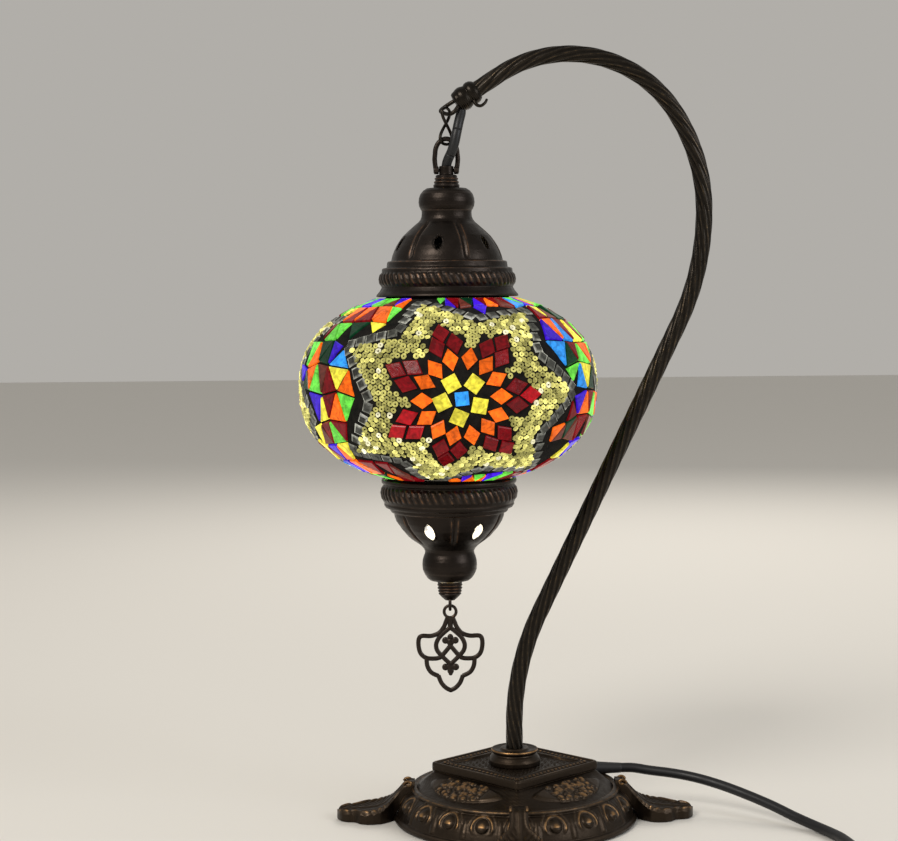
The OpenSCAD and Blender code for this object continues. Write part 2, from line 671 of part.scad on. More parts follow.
base_casting();
base_cover();
felt_pad();
cover_screws();
arm_collar();
arm_nipple();
arm_washer();
arm_nut();
arm_tube();
arm_ferrule();
hook();
arm_cable();
cord_gland();
chain_link();
bail();
cap_stub();
upper_cap();
cap_nut();
cap_nipple();
lamp_holder();
holder_ring();
bulb_base();
bulb_glass();
globe_carrier();
spring_clips();
glass_globe();
mosaic_grout();
rosette_tiles();
lower_cap();
lower_clip();
lower_rod();
bottom_finial();
pendant();
drop_cable();
mains_cord_lamp_end();
mains_cord_middle();
mains_cord_plug_end();
cord_coil();
switch_base();
switch_cover();
switch_rocker();
plug_body();
plug_pins();
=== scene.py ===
"""Looks of the mosaic glass table lamp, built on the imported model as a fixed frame.

Blender's unit is the metre. Shapes are written in millimetres and scaled by MM when a mesh is made.
"""

import json
import math
import random

import bpy
import numpy as np
from mathutils import Matrix, Vector

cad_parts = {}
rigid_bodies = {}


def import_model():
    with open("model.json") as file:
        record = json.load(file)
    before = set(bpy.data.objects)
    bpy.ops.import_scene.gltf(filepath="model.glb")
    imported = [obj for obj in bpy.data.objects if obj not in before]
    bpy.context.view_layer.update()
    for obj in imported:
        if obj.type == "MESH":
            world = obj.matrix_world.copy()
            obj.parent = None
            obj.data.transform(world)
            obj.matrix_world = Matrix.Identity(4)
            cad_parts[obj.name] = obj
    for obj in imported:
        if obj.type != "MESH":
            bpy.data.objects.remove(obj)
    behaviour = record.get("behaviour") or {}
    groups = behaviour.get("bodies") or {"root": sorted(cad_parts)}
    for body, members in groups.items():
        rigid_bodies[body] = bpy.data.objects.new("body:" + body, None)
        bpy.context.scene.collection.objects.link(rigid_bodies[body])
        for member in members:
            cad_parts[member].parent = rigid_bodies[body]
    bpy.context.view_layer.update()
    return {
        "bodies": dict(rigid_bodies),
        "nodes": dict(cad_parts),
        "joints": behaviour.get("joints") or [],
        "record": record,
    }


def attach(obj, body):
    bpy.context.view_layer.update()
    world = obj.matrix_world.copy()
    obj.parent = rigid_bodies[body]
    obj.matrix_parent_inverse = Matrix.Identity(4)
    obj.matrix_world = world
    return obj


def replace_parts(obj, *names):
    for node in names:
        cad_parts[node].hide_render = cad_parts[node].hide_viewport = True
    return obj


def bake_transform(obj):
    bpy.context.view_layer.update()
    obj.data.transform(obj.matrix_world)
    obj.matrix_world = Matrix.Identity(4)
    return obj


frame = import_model()
scene = bpy.context.scene
rng = random.Random(11)
MM = 0.001
TAU = 2 * math.pi


# ---- Camera, light and floor ----


def link(obj):
    scene.collection.objects.link(obj)
    return obj


def place_camera():
    """Level camera at the height of the shade's upper half, tilted half a degree about its own axis."""
    data = bpy.data.cameras.new("camera")
    data.sensor_width, data.lens, data.shift_y = 36, 75.6, -0.134
    camera = link(bpy.data.objects.new("camera", data))
    camera.matrix_world = (
        Matrix.Translation((-0.0351, -1.075, 0.295))
        @ Matrix.Rotation(math.radians(0.5), 4, "Y")
        @ Matrix.Rotation(math.radians(90), 4, "X")
    )
    scene.camera = camera


def area_light(name, at, towards, size, power, colour, shines=True):
    data = bpy.data.lights.new(name, "AREA")
    data.shape, data.size, data.energy, data.color = "DISK", size, power, colour
    light = link(bpy.data.objects.new(name, data))
    light.location = at
    light.visible_glossy = shines
    light.rotation_euler = (Vector(towards) - Vector(at)).to_track_quat("-Z", "Y").to_euler()


def place_stage():
    world = bpy.data.worlds.new("studio")
    world.use_nodes = True
    background = world.node_tree.nodes["Background"]
    background.inputs["Color"].default_value = (0.80, 0.77, 0.72, 1)
    background.inputs["Strength"].default_value = 0.55
    scene.world = world
    area_light("key", (-1.1, -1.3, 1.5), (0, 0, 0.2), 0.9, 26, (1, 0.96, 0.9))
    area_light("fill", (1.5, -0.9, 0.9), (0, 0, 0.2), 1.1, 12, (0.93, 0.96, 1))
    area_light("back", (0.3, 1.5, 1.2), (0, 0, 0.25), 1.0, 14, (1, 0.95, 0.88), shines=False)
    bpy.ops.mesh.primitive_plane_add(size=12)
    floor = bpy.context.object
    floor.name = "floor"
    paint = Paint("floor", (0.70, 0.68, 0.64), roughness=0.55)
    paint.bump(paint.noise(60), 0.05, 0.001)
    floor.data.materials.append(paint.mat)
    scene.view_settings.view_transform = "Standard"


# ---- Materials ----


class Paint:
    """One procedural material: plain sockets are set by value, the rest come from the helpers."""

    def __init__(self, name, colour, metallic=0.0, roughness=0.5, **sockets):
        self.mat = bpy.data.materials.new(name)
        self.mat.use_nodes = True
        self.tree = self.mat.node_tree
        self.shader = self.tree.nodes["Principled BSDF"]
        self.place = self.node("ShaderNodeTexCoord").outputs["Object"]
        values = {"Base Color": (*colour, 1), "Metallic": metallic, "Roughness": roughness}
        values.update({key.replace("_", " "): value for key, value in sockets.items()})
        for key, value in values.items():
            self.shader.inputs[key].default_value = value

    def node(self, kind, **inputs):
        made = self.tree.nodes.new(kind)
        for key, value in inputs.items():
            self.plug(made.inputs[key.replace("_", " ")], value)
        return made

    def plug(self, socket, value):
        """Links a node's output to a socket, or sets the socket to a plain value."""
        if isinstance(value, bpy.types.NodeSocket):
            self.tree.links.new(value, socket)
        else:
            socket.default_value = value

    def noise(self, scale, detail=3.0, stretch=None, distortion=0.0):
        place = self.place
        if stretch:
            place = self.node("ShaderNodeMapping", Vector=place, Scale=stretch).outputs["Vector"]
        made = self.node("ShaderNodeTexNoise", Vector=place, Scale=scale, Detail=detail,
                         Distortion=distortion)
        return made.outputs["Fac"]

    def attribute(self, name, output="Fac"):
        made = self.tree.nodes.new("ShaderNodeAttribute")
        made.attribute_name = name
        return made.outputs[output]

    def math(self, operation, a, b):
        made = self.tree.nodes.new("ShaderNodeMath")
        made.operation = operation
        self.plug(made.inputs[0], a)
        self.plug(made.inputs[1], b)
        return made.outputs[0]

    def ramp(self, factor, *stops):
        """Colour ramp from (place, colour) stops, where a colour may be one grey number."""
        made = self.node("ShaderNodeValToRGB", Fac=factor)
        ends = made.color_ramp.elements
        while len(ends) < len(stops):
            ends.new(0.5)
        for end, (place, colour) in zip(ends, stops):
            end.position = place
            end.color = (*colour, 1) if isinstance(colour, tuple) else (colour, colour, colour, 1)
        return made.outputs["Color"]

    def tinted(self, tint, factor):
        """A colour socket times a grey one."""
        made = self.tree.nodes.new("ShaderNodeMix")
        made.data_type, made.blend_type = "RGBA", "MULTIPLY"
        for place, value in ((0, 1), (6, tint), (7, factor)):
            self.plug(made.inputs[place], value)
        return made.outputs[2]

    def feed(self, socket, source):
        self.plug(self.shader.inputs[socket], source)

    def bump(self, height, strength, distance):
        made = self.node("ShaderNodeBump", Height=height, Strength=strength, Distance=distance)
        self.feed("Normal", made.outputs["Normal"])


def antique(name, dark, high, roughness):
    """Dark antiqued metal with bright metal rubbed through where the rub attribute is high."""
    paint = Paint(name, dark, metallic=0.9, roughness=roughness)
    worn = paint.math("MULTIPLY", paint.noise(350, 4), 0.9)
    rub = paint.math("MULTIPLY", paint.attribute("rub"), paint.math("ADD", worn, 0.25))
    colour = paint.ramp(rub, (0.0, dark), (0.3, tuple(1.9 * c for c in dark)), (0.75, high))
    paint.feed("Base Color", colour)
    paint.feed("Roughness", paint.ramp(paint.noise(220, 5), (0.3, roughness - 0.1), (0.8, roughness + 0.16)))
    paint.bump(paint.noise(900, 5), 0.22, 0.0004)
    return paint.mat


def mottled(name, colour, *feeds, bump=None, **values):
    """Finish whose sockets wander with noise. Each feed is a socket, the noise's scale, detail and stretch,
    and the ramp's stops; bump is the noise's scale and detail, then the strength and distance."""
    paint = Paint(name, colour, **values)
    for socket, noise, *stops in feeds:
        paint.feed(socket, paint.ramp(paint.noise(*noise), *stops))
    if bump:
        paint.bump(paint.noise(*bump[:2]), *bump[2:])
    return paint.mat


def glow_painted_glass(name, low, middle, edge):
    """Coloured glass with a painted glow standing in for the lamp behind it, and a painted highlight where it
    is seen edge on.
    """
    lit = Paint(name, (1, 1, 1), roughness=0.22, Coat_Weight=0.06, Coat_Roughness=0.12,
                Specular_IOR_Level=0.18)
    tint = lit.attribute("tint", "Color")
    ripple = lit.ramp(lit.noise(260, 3, distortion=1.2), (0.30, low), (0.50, middle), (0.72, 1.0))
    # painted highlight: the painted glow rises to edge times its face-on strength where the glass is seen edge
    # on
    facing = lit.node("ShaderNodeLayerWeight", Blend=0.5).outputs["Facing"]
    rim = lit.ramp(facing, (0.55, 1.5 / edge), (1.0, 1.0))
    lit.feed("Emission Strength", lit.math("MULTIPLY", rim, edge))
    lit.feed("Emission Color", lit.tinted(tint, ripple))
    lit.feed("Base Color", lit.tinted(tint, lit.ramp(lit.noise(500, 2), (0.3, 0.08), (0.7, 0.24))))
    lit.bump(lit.noise(330, 3, distortion=0.8), 0.35, 0.0006)
    return lit.mat


def painted_glow_sheet():
    """Inner face of the lower cap with a painted glow, standing in for the bulb's light, where the glow
    attribute says.
    """
    paint = Paint("painted_glow_inside", (0.75, 0.72, 0.66), roughness=0.4, metallic=0.6,
                  Emission_Color=(1, 0.94, 0.82, 1))
    glow = paint.ramp(paint.noise(160, 3), (0.35, 0.35), (0.6, 1.1))
    # painted glow: the metal emits light of its own, though it is no lamp
    paint.feed("Emission Strength", paint.math("MULTIPLY", paint.attribute("glow"), glow))
    return paint.mat


def make_materials():
    return {
        "base": antique("antique_bronze", (0.030, 0.021, 0.014), (0.50, 0.27, 0.10), 0.40),
        "cap": antique("cap_bronze", (0.021, 0.016, 0.013), (0.40, 0.19, 0.085), 0.36),
        "arm": antique("arm_bronze", (0.016, 0.013, 0.010), (0.28, 0.18, 0.08), 0.30),
        "painted_glow_sheet": painted_glow_sheet(),
        "tiles": glow_painted_glass("tiles_glass", 0.32, 0.62, 2.2),
        "clear": glow_painted_glass("clear_glass", 0.2, 0.55, 5.0),
        "beads": glow_painted_glass("beads_glass", 0.38, 0.62, 4.0),
        "steel": mottled("zinc_steel", (0.58, 0.58, 0.57),
                         ("Roughness", (300, 5, (1, 1, 9)), (0.3, 0.25), (0.8, 0.5)),
                         ("Base Color", (90, 4), (0.3, (0.5, 0.5, 0.48)), (0.7, (0.66, 0.66, 0.64))),
                         metallic=1, roughness=0.35),
        "brass": mottled("machined_brass", (0.62, 0.45, 0.18),
                         ("Roughness", (400, 5, (1, 1, 14)), (0.3, 0.2), (0.8, 0.42)),
                         ("Base Color", (70,), (0.3, (0.5, 0.34, 0.12)), (0.7, (0.70, 0.53, 0.23))),
                         metallic=1, roughness=0.3),
        "felt": mottled("felt", (0.02, 0.09, 0.045),
                        ("Base Color", (1500, 6), (0.3, (0.01, 0.055, 0.028)), (0.7, (0.04, 0.15, 0.075))),
                        bump=(2500, 6, 0.6, 0.0004), roughness=1, Sheen_Weight=0.4),
        "cord": mottled("pvc_cable", (0.009, 0.009, 0.010),
                        ("Roughness", (120, 4), (0.3, 0.36), (0.75, 0.55)),
                        bump=(500, 4, 0.12, 0.0002), roughness=0.4, Specular_IOR_Level=0.35),
        "plastic": mottled("moulded_plastic", (0.014, 0.014, 0.015),
                           ("Roughness", (150, 4), (0.3, 0.32), (0.75, 0.5)),
                           bump=(3000, 2, 0.18, 0.0001), roughness=0.4),
        "holder": mottled("phenolic", (0.02, 0.018, 0.017),
                          ("Roughness", (200, 4), (0.3, 0.42), (0.75, 0.62)),
                          bump=(900, 4, 0.15, 0.0002), roughness=0.5),
        "red": mottled("rocker_plastic", (0.42, 0.015, 0.012),
                       ("Roughness", (200, 4), (0.3, 0.22), (0.75, 0.4)),
                       bump=(2500, 2, 0.1, 0.0001), roughness=0.3),
        "bulb": mottled("lit_bulb", (1, 0.93, 0.8), ("Roughness", (80,), (0.3, 0.3), (0.7, 0.5)),
                        roughness=0.4, Emission_Color=(1, 0.80, 0.50, 1), Emission_Strength=9.0),
        # painted glow: the globe's glass emits faint light, standing in for the bulb inside
        "glass": mottled("blown_glass_painted_glow", (0.93, 0.93, 0.88), bump=(60, 2, 0.15, 0.001), roughness=0.12,
                         Transmission_Weight=0.6, Emission_Color=(1, 0.90, 0.70, 1), Emission_Strength=0.35),
        "grout": mottled("grout", (0.006, 0.005, 0.005),
                         ("Base Color", (260, 6), (0.3, (0.003, 0.003, 0.003)),
                          (0.75, (0.014, 0.012, 0.010))),
                         bump=(700, 6, 0.8, 0.0006), roughness=0.9, Specular_IOR_Level=0.15),
    }


# ---- Mesh helpers ----


def add_mesh(name, points, faces, mat, body, slot=None, smooth=True, **attributes):
    """Object from points in millimetres. Extra keywords are point attributes, numbers or colours."""
    mesh = bpy.data.meshes.new(name)
    if isinstance(faces, np.ndarray):
        faces = faces.tolist()
    mesh.from_pydata((np.asarray(points, float).reshape(-1, 3) * MM).tolist(), [], faces)
    for key, values in attributes.items():
        values = np.asarray(values, np.float32)
        colour = values.ndim == 2
        data = mesh.attributes.new(key, "FLOAT_COLOR" if colour else "FLOAT", "POINT").data
        data.foreach_set("color" if colour else "value", values.ravel())
    mesh.polygons.foreach_set("use_smooth", [smooth] * len(mesh.polygons))
    mesh.materials.append(mat)
    obj = link(bpy.data.objects.new(name, mesh))
    if body:
        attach(obj, body)
    return obj


def circle(n):
    """Angles of n even steps round a circle."""
    return np.arange(n) / n * TAU


def grid_faces(rows, columns, ring_rows=False):
    """Quads over a grid stored row by row, joined round its columns, and its rows where asked."""
    a, b = np.meshgrid(np.arange(rows if ring_rows else rows - 1), np.arange(columns), indexing="ij")
    a2, b2 = (a + 1) % rows, (b + 1) % columns
    return np.stack([a * columns + b, a * columns + b2, a2 * columns + b2, a2 * columns + b], -1).reshape(-1,
                                                                                                          4)


def resampled(profile, step):
    """Points of a polyline at even steps, its own corners kept."""
    profile = np.asarray(profile, float)
    rows = [profile[:1]]
    for p, q in zip(profile[:-1], profile[1:]):
        n = max(1, round(np.linalg.norm((q - p)[:2]) / step))
        rows.append(p + (q - p) * (np.arange(1, n + 1) / n)[:, None])
    return np.concatenate(rows)


def rounded(points, per=6, closed=False):
    """Smooth curve through points (Catmull-Rom), per steps to each stretch."""
    p = np.asarray(points, float)
    n = len(p)
    out = []
    for i in range(n if closed else n - 1):
        if closed:
            a, b, c, d = (p[(i + k) % n] for k in (-1, 0, 1, 2))
        else:
            a, b, c, d = p[max(i - 1, 0)], p[i], p[i + 1], p[min(i + 2, n - 1)]
        for t in np.arange(per) / per:
            out.append(0.5 * (2 * b + (c - a) * t + (2 * a - 5 * b + 4 * c - d) * t**2
                              + (3 * b - a - 3 * c + d) * t**3))
    if not closed:
        out.append(p[-1])
    return np.array(out)


def frames_along(path, closed=False):
    """Two side directions at each point of a path, carried along with no twist."""
    ahead = np.roll(path, -1, 0) - np.roll(path, 1, 0)
    if not closed:
        ahead[0], ahead[-1] = path[1] - path[0], path[-1] - path[-2]
    ahead /= np.linalg.norm(ahead, axis=1)[:, None]
    side = np.cross(ahead[0], [0, 1, 0] if abs(ahead[0][1]) < 0.9 else [1, 0, 0])
    sides = []
    for t in ahead:
        side = side - (side @ t) * t
        side = side / np.linalg.norm(side)
        sides.append(side)
    sides = np.array(sides)
    return sides, np.cross(ahead, sides)


def rings_along(path, angles, closed=False):
    """Unit circles across a path, one ring of directions at each of its points."""
    u, v = frames_along(path, closed)
    return np.cos(angles)[None, :, None] * u[:, None, :] + np.sin(angles)[None, :, None] * v[:, None, :]


def tube(path, radius, around=16, closed=False, flat=None):
    """Points and faces of a tube. radius may vary along it; flat squashes it to a share of its depth in Y."""
    path = np.asarray(path, float)
    radius = np.broadcast_to(np.asarray(radius, float), (len(path),))
    ring = rings_along(path, circle(around), closed)
    if flat:
        ring[..., 1] *= flat
    points = path[:, None, :] + radius[:, None, None] * ring
    faces = grid_faces(len(path), around, ring_rows=closed).tolist()
    if not closed:
        faces += end_faces(len(path), around)
    return points, faces


def end_faces(rows, around):
    """The two faces that shut a tube."""
    return [list(range(around))[::-1], [(rows - 1) * around + k for k in range(around)]]


class Heap:
    """Points, faces and attributes of many small shapes, to be made into one object."""

    def __init__(self):
        self.points, self.faces, self.extra, self.count = [], [], [], 0

    def add_grid(self, points, rub=0.0):
        """Rows of points, each row a ring."""
        self.add(points, grid_faces(*points.shape[:2]), np.broadcast_to(rub, points.shape[:2]).ravel())

    def add(self, points, faces, extra=0.0):
        points = np.asarray(points, float).reshape(-1, 3)
        self.points.append(points)
        self.faces += [[i + self.count for i in f] for f in faces]
        extra = np.asarray(extra, float)
        if extra.shape[:1] != (len(points),):
            extra = np.broadcast_to(extra, (len(points), *extra.shape))
        self.extra.append(extra)
        self.count += len(points)

    def build(self, name, mat, body, slot, key="rub", smooth=True):
        return add_mesh(name, np.concatenate(self.points), self.faces, mat, body, slot, smooth,
                        **{key: np.concatenate(self.extra)})


def smoothstep(low, high, x):
    t = np.clip((x - low) / (high - low), 0, 1)
    return t * t * (3 - 2 * t)


def band(z, low, high, soft=0.4):
    """One between low and high, falling smoothly to zero outside."""
    return smoothstep(low - soft, low + soft, z) * (1 - smoothstep(high - soft, high + soft, z))


def bell(x, at, width):
    return np.exp(-((x - at) / width) ** 2)


def folded(angle, step):
    """Angle from the nearest multiple of a step."""
    return (angle + step / 2) % step - step / 2


def spun_x(profile, around, at, way=1):
    """Rings of a wall turned about a line in X, from (radius, distance) points."""
    a = circle(around)
    return np.stack([at[0] + way * profile[:, 1:] + 0 * a, at[1] + profile[:, :1] * np.cos(a),
                     at[2] + profile[:, :1] * np.sin(a)], -1)


# ---- Cords: the routes of part.scad, repeated in millimetres ----

CORD_R = 2.8
DROP_SIDES = 24
SWITCH = (178, -137, 0)
COIL = (122, -152.9)
COIL_R = 33.5
LAMP_END = [
    (63, 25, 21.5), (70, 24.5, 21.5), (79, 22.5, 20.5), (93, 18.5, 19.5), (106, 13, 18),
    (119, 6, 15.5), (131, -2, 12.5), (144, -13, 9), (155, -24, 5.5), (164, -35, 3.5),
    (170, -46, 3), (174, -58, 3.2), (177, -74, 3.2), (178, -90, 4.4), (178, -106, 6.5),
]
MIDDLE = [
    (178, -168, 6.5), (177, -175, 5.5), (173, -183, 4), (166, -189, 3), (157, -192, 2.8),
    (140, -192, 2.8), (130, -192, 2.8),
]
PLUG_END = [
    (120, -192, 14), (113, -192, 13.9), (106, -191.4, 12.8), (99.5, -189.6, 10.2),
    (93.5, -186.4, 7), (88, -182.4, 4.7), (82.5, -178.6, 4.2), (77.5, -176, 5.4), (72, -175, 7),
]
DROP = [
    (-27.4, 0, 405), (-27.4, -0.6, 401.5), (-28.6, -2.8, 396.5), (-30, -4.7, 390),
    (-31.2, -5, 384.5), (-32.8, -4.2, 379.5), (-34.8, -2, 375.4), (-35.8, -0.4, 372.4),
    (-36, 0, 369.5), (-36, 0, 366), (-36, 0, 356), (-36, 0, 345), (-36, 0, 336),
]


def coil_points():
    """Six turns, wound clockwise from the near side: inwards on the table, outwards on top, and off the top."""
    pitch = 2 * CORD_R
    outer, middle, inner = COIL_R + pitch, COIL_R, COIL_R - pitch
    radius = [(0, outer), (0.8, outer), (1, middle), (1.8, middle), (2, inner), (3.3, inner), (3.5, middle),
              (4.3, middle), (4.5, outer), (6, outer)]
    height = [(0, CORD_R), (2.55, CORD_R), (2.75, CORD_R + pitch), (5.05, CORD_R + pitch),
              (5.25, CORD_R + 2 * pitch), (6, CORD_R + 2 * pitch)]
    turns = np.linspace(0, 6, 6 * 40 + 1)[1:-1]
    r = np.interp(turns, *zip(*radius))
    z = np.interp(turns, *zip(*height))
    a = -math.pi / 2 - turns * TAU
    return np.stack([COIL[0] + r * np.cos(a), COIL[1] + r * np.sin(a), z], -1)


def cord_curve(name, path, mat, body):
    data = bpy.data.curves.new(name, "CURVE")
    data.dimensions, data.bevel_depth, data.bevel_resolution = "3D", CORD_R * MM, 4
    data.use_fill_caps = True
    spline = data.splines.new("POLY")
    spline.points.add(len(path) - 1)
    for point, at in zip(spline.points, path):
        point.co = (*(np.asarray(at) * MM), 1)
    data.materials.append(mat)
    obj = link(bpy.data.objects.new(name, data))
    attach(obj, body)
    return obj


def make_cords(mats):
    lamp_end, middle, plug_end = (rounded(route) for route in (LAMP_END, MIDDLE, PLUG_END))
    mains = cord_curve(
        "mains_cord", np.concatenate([lamp_end, middle, coil_points(), plug_end]), mats["cord"], "stand"
    )
    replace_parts(mains, "mains_cord_lamp_end", "mains_cord_middle", "mains_cord_plug_end", "cord_coil")
    tie = Heap()
    strap = rounded([(-10.4, 8.4), (-9.6, 16.6), (0, 18), (9.6, 16.6), (10.4, 8.4), (9.6, 2.2), (0, 1.6),
                     (-9.6, 2.2)], closed=True)
    at = np.array([COIL[0] - COIL_R, COIL[1], 0])
    for k, shift in enumerate((-2.6, 0, 2.6)):
        ring = np.stack([strap[:, 0], np.full(len(strap), shift), strap[:, 1]], -1) + at
        tie.add(*tube(ring, 1.25 if k == 1 else 0.9, 8, closed=True))
    tie_piece = tie.build("cord_tie", mats["plastic"], "stand", "black_plastic")
    make_drop_cord(mats)


# each stretch's name, the heights of its ends, the bodies it joins, and where its bend starts and ends
DROP_CUTS = (("drop_cord_top", 405, 392, "stand", "link", 404.5, 393.5),
             ("drop_cord_middle", 392, 378, "link", "bail", 391.5, 381),
             ("drop_cord", 378, 336, "bail", "shade", 377, 368))


def make_drop_cord(mats):
    """The cord from the arm to the shade, in three stretches."""
    path = rounded(DROP, 8)
    rings, _ = tube(path, CORD_R, DROP_SIDES)

    def nearest(height):
        return int(np.abs(path[:, 2] - height).argmin())

    stretches = []
    for name, top, foot, upper, lower, start, end in DROP_CUTS:
        first, last = nearest(top), nearest(foot)
        count = last - first + 1
        faces = grid_faces(count, DROP_SIDES).tolist() + end_faces(count, DROP_SIDES)
        piece = add_mesh(name, rings[first:last + 1], faces, mats["cord"], None, "cord")
        tuple(path[nearest(start)] * MM)
        tuple(path[nearest(end)] * MM)
        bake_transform(piece)
        stretches.append((piece, path[first:last + 1] * MM))
    cord, route = stretches[-1]
    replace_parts(cord, "drop_cable")


# ---- Shade: the globe's surface, its grout, tiles and beads ----

SHADE_X, GLOBE_Z = -36, 246
GLOBE_A, GLOBE_B, GLOBE_N = 85, 55, 2.3
PETALS = 7
# where each medallion's middle is round the globe, and how far its rosette is turned
MEDALLIONS = [(math.radians(-85 + 120 * k), math.radians(lean)) for k, lean in enumerate((2, 14, -9))]
MEDALLION_Y = -3.0
STAR_TIP, STAR_NOTCH = 78.5, 55.5
# the mosaic's ends, measured along the globe from its equator, and the radius of the glass necks
EDGE_UP, EDGE_DOWN = 74.2, -77.0
GROUT_NECK = 35.1
BEAD_PITCH = 3.42

_t = np.linspace(-1.5, 1.5, 3001)
_r = GLOBE_A * np.cos(_t) ** (2 / GLOBE_N)
_z = GLOBE_B * np.sign(_t) * np.abs(np.sin(_t)) ** (2 / GLOBE_N)
_s = np.concatenate([[0], np.cumsum(np.hypot(np.diff(_r), np.diff(_z)))])
_s -= np.interp(0, _t, _s)


def on_globe(turn, along, lift=0.0):
    """Point and frame (girth, meridian, normal) at an angle and a distance up the meridian."""
    turn, along = np.asarray(turn, float), np.asarray(along, float)
    r, z = np.interp(along, _s, _r), np.interp(along, _s, _z)
    dr = np.interp(along + 0.5, _s, _r) - np.interp(along - 0.5, _s, _r)
    dz = np.interp(along + 0.5, _s, _z) - np.interp(along - 0.5, _s, _z)
    size = np.hypot(dr, dz)
    dr, dz = dr / size, dz / size
    c, s = np.cos(turn), np.sin(turn)
    girth = np.stack([-s, c, 0 * c], -1)
    meridian = np.stack([dr * c, dr * s, dz], -1)
    normal = np.stack([dz * c, dz * s, -dr], -1)
    point = np.stack([SHADE_X + r * c, r * s, GLOBE_Z + z], -1) + lift * normal
    return point, girth, meridian, normal


def girth_at(along):
    return float(np.interp(along, _s, _r))


class Mosaic(Heap):
    """Flat cut tiles with bevelled edges, each set square to the globe."""

    def tile(self, turn, along, outline, tint, bevel=0.45, top=-0.28, foot=-1.7, rim=1.0):
        point, girth, meridian, normal = on_globe(turn, along)
        outline = np.asarray(outline, float)
        middle = outline.mean(0)
        far = np.linalg.norm(outline - middle, axis=1).max()
        inner = middle + (outline - middle) * (1 - bevel / far * 1.6)
        tilt = np.array([rng.uniform(-1, 1), rng.uniform(-1, 1)]) * 0.012
        rows = []
        for shape, height in ((outline, foot), (outline, top - bevel), (inner, top)):
            level = height + (shape - middle) @ tilt
            rows.append(point + shape[:, :1] * girth + shape[:, 1:] * meridian + level[:, None] * normal)
        n = len(outline)
        faces = grid_faces(3, n).tolist() + [[2 * n + k for k in range(n)]]
        # rim brightens the bevel and foot over the top: a painted glint on the bevelled edges; shade is each
        # tile's tone, varied at random
        shade = rng.uniform(0.75, 1.12)
        lit = np.repeat([rim * shade, rim * shade, shade], n)[:, None] * np.array(tint)
        self.add(np.concatenate(rows), faces, np.concatenate([lit, np.ones((3 * n, 1))], 1))


ORANGE, YELLOW, LIGHT_BLUE = (1.0, 0.15, 0.006), (0.92, 0.80, 0.06), (0.03, 0.30, 0.85)
RED, DARK_RED, DEEP_BLUE = (0.42, 0.004, 0.010), (0.17, 0.002, 0.005), (0.05, 0.008, 0.65)
GREEN, DARK_GREEN, BROWN = (0.14, 0.68, 0.06), (0.002, 0.035, 0.012), (0.14, 0.03, 0.02)
CLEAR, GOLD = (0.05, 0.05, 0.042), (0.50, 0.46, 0.13)


def rhombus(long, short, turn, at=(0, 0)):
    c, s = math.cos(turn), math.sin(turn)
    corners = [(long / 2, 0), (0, short / 2), (-long / 2, 0), (0, -short / 2)]
    return [(at[0] + c * x - s * y, at[1] + s * x + c * y) for x, y in corners]


def square(side, turn):
    return rhombus(side * math.sqrt(2), side * math.sqrt(2), turn + math.pi / 4)


def rosette_tiles(mosaic, turn0, phase):
    """Blue middle, five yellow squares, fourteen orange rhombi and seven dark red petal ends."""

    def lay(distance, angle, shape, tint, aside=0.0):
        x = distance * math.cos(angle) - aside * math.sin(angle)
        y = distance * math.sin(angle) + aside * math.cos(angle)
        along = MEDALLION_Y + y
        mosaic.tile(turn0 + x / girth_at(along), along, shape, tint)

    def wobble(size):
        return rng.uniform(-size, size)

    lay(0, 0, square(7.2, 0.1), LIGHT_BLUE)
    for k in range(5):
        a = math.radians(50) + k * TAU / 5 + wobble(0.08)
        lay(10.4 + wobble(0.5), a, square(8.1, a + wobble(0.3)), YELLOW)
    for k in range(2 * PETALS):
        a = phase + k * TAU / (2 * PETALS) + wobble(0.025)
        lay(21.8 + wobble(0.6), a, rhombus(12.6, 8.6, a + wobble(0.12)), ORANGE)
    for k in range(PETALS):
        a = phase + k * TAU / PETALS
        red = RED if k in (0, 4) else DARK_RED
        for side in (-1, 1):
            lay(31.0, a, rhombus(13.4, 9.2, a + side * (0.10 + wobble(0.06))),
                RED if k == 4 else DARK_RED, aside=side * 5.0)
        lay(39.4 + wobble(0.4), a, rhombus(13.2, 9.2, a + wobble(0.08)), red)


def star_radius(angle, phase):
    """Edge of a medallion: a seven-pointed star, its points towards the petals."""
    a, half = abs(folded(angle - phase, TAU / PETALS)), math.pi / PETALS
    nx, ny = STAR_NOTCH * math.cos(half), STAR_NOTCH * math.sin(half)
    # crossing of the ray at angle a with the line from the tip to the notch
    return STAR_TIP * ny / (math.cos(a) * ny - math.sin(a) * (nx - STAR_TIP))


def in_star(turn, along, margin):
    """True where a medallion, grown by a margin, holds a place on the globe."""
    for turn0, phase in MEDALLIONS:
        x, y = folded(turn - turn0, TAU) * girth_at(along), along - MEDALLION_Y
        if math.hypot(x, y) < star_radius(math.atan2(y, x), phase) + margin:
            return True
    return False


def make_mosaic(mats):
    tiles, clear, beads = Mosaic(), Mosaic(), Heap()
    for turn0, phase in MEDALLIONS:
        rosette_tiles(tiles, turn0, phase)
        border_tiles(clear, turn0, phase)
    filler_tiles(tiles)
    place_beads(beads)
    tiles.build("mosaic_tiles", mats["tiles"], "shade", "tiles", "tint", smooth=False)
    clear.build("border_tiles", mats["clear"], "shade", "tiles", "tint", smooth=False)
    beads.build("seed_beads", mats["beads"], "shade", "tiles", "tint")
    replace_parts(bpy.data.objects["mosaic_tiles"], "rosette_tiles")
    make_grout(mats)


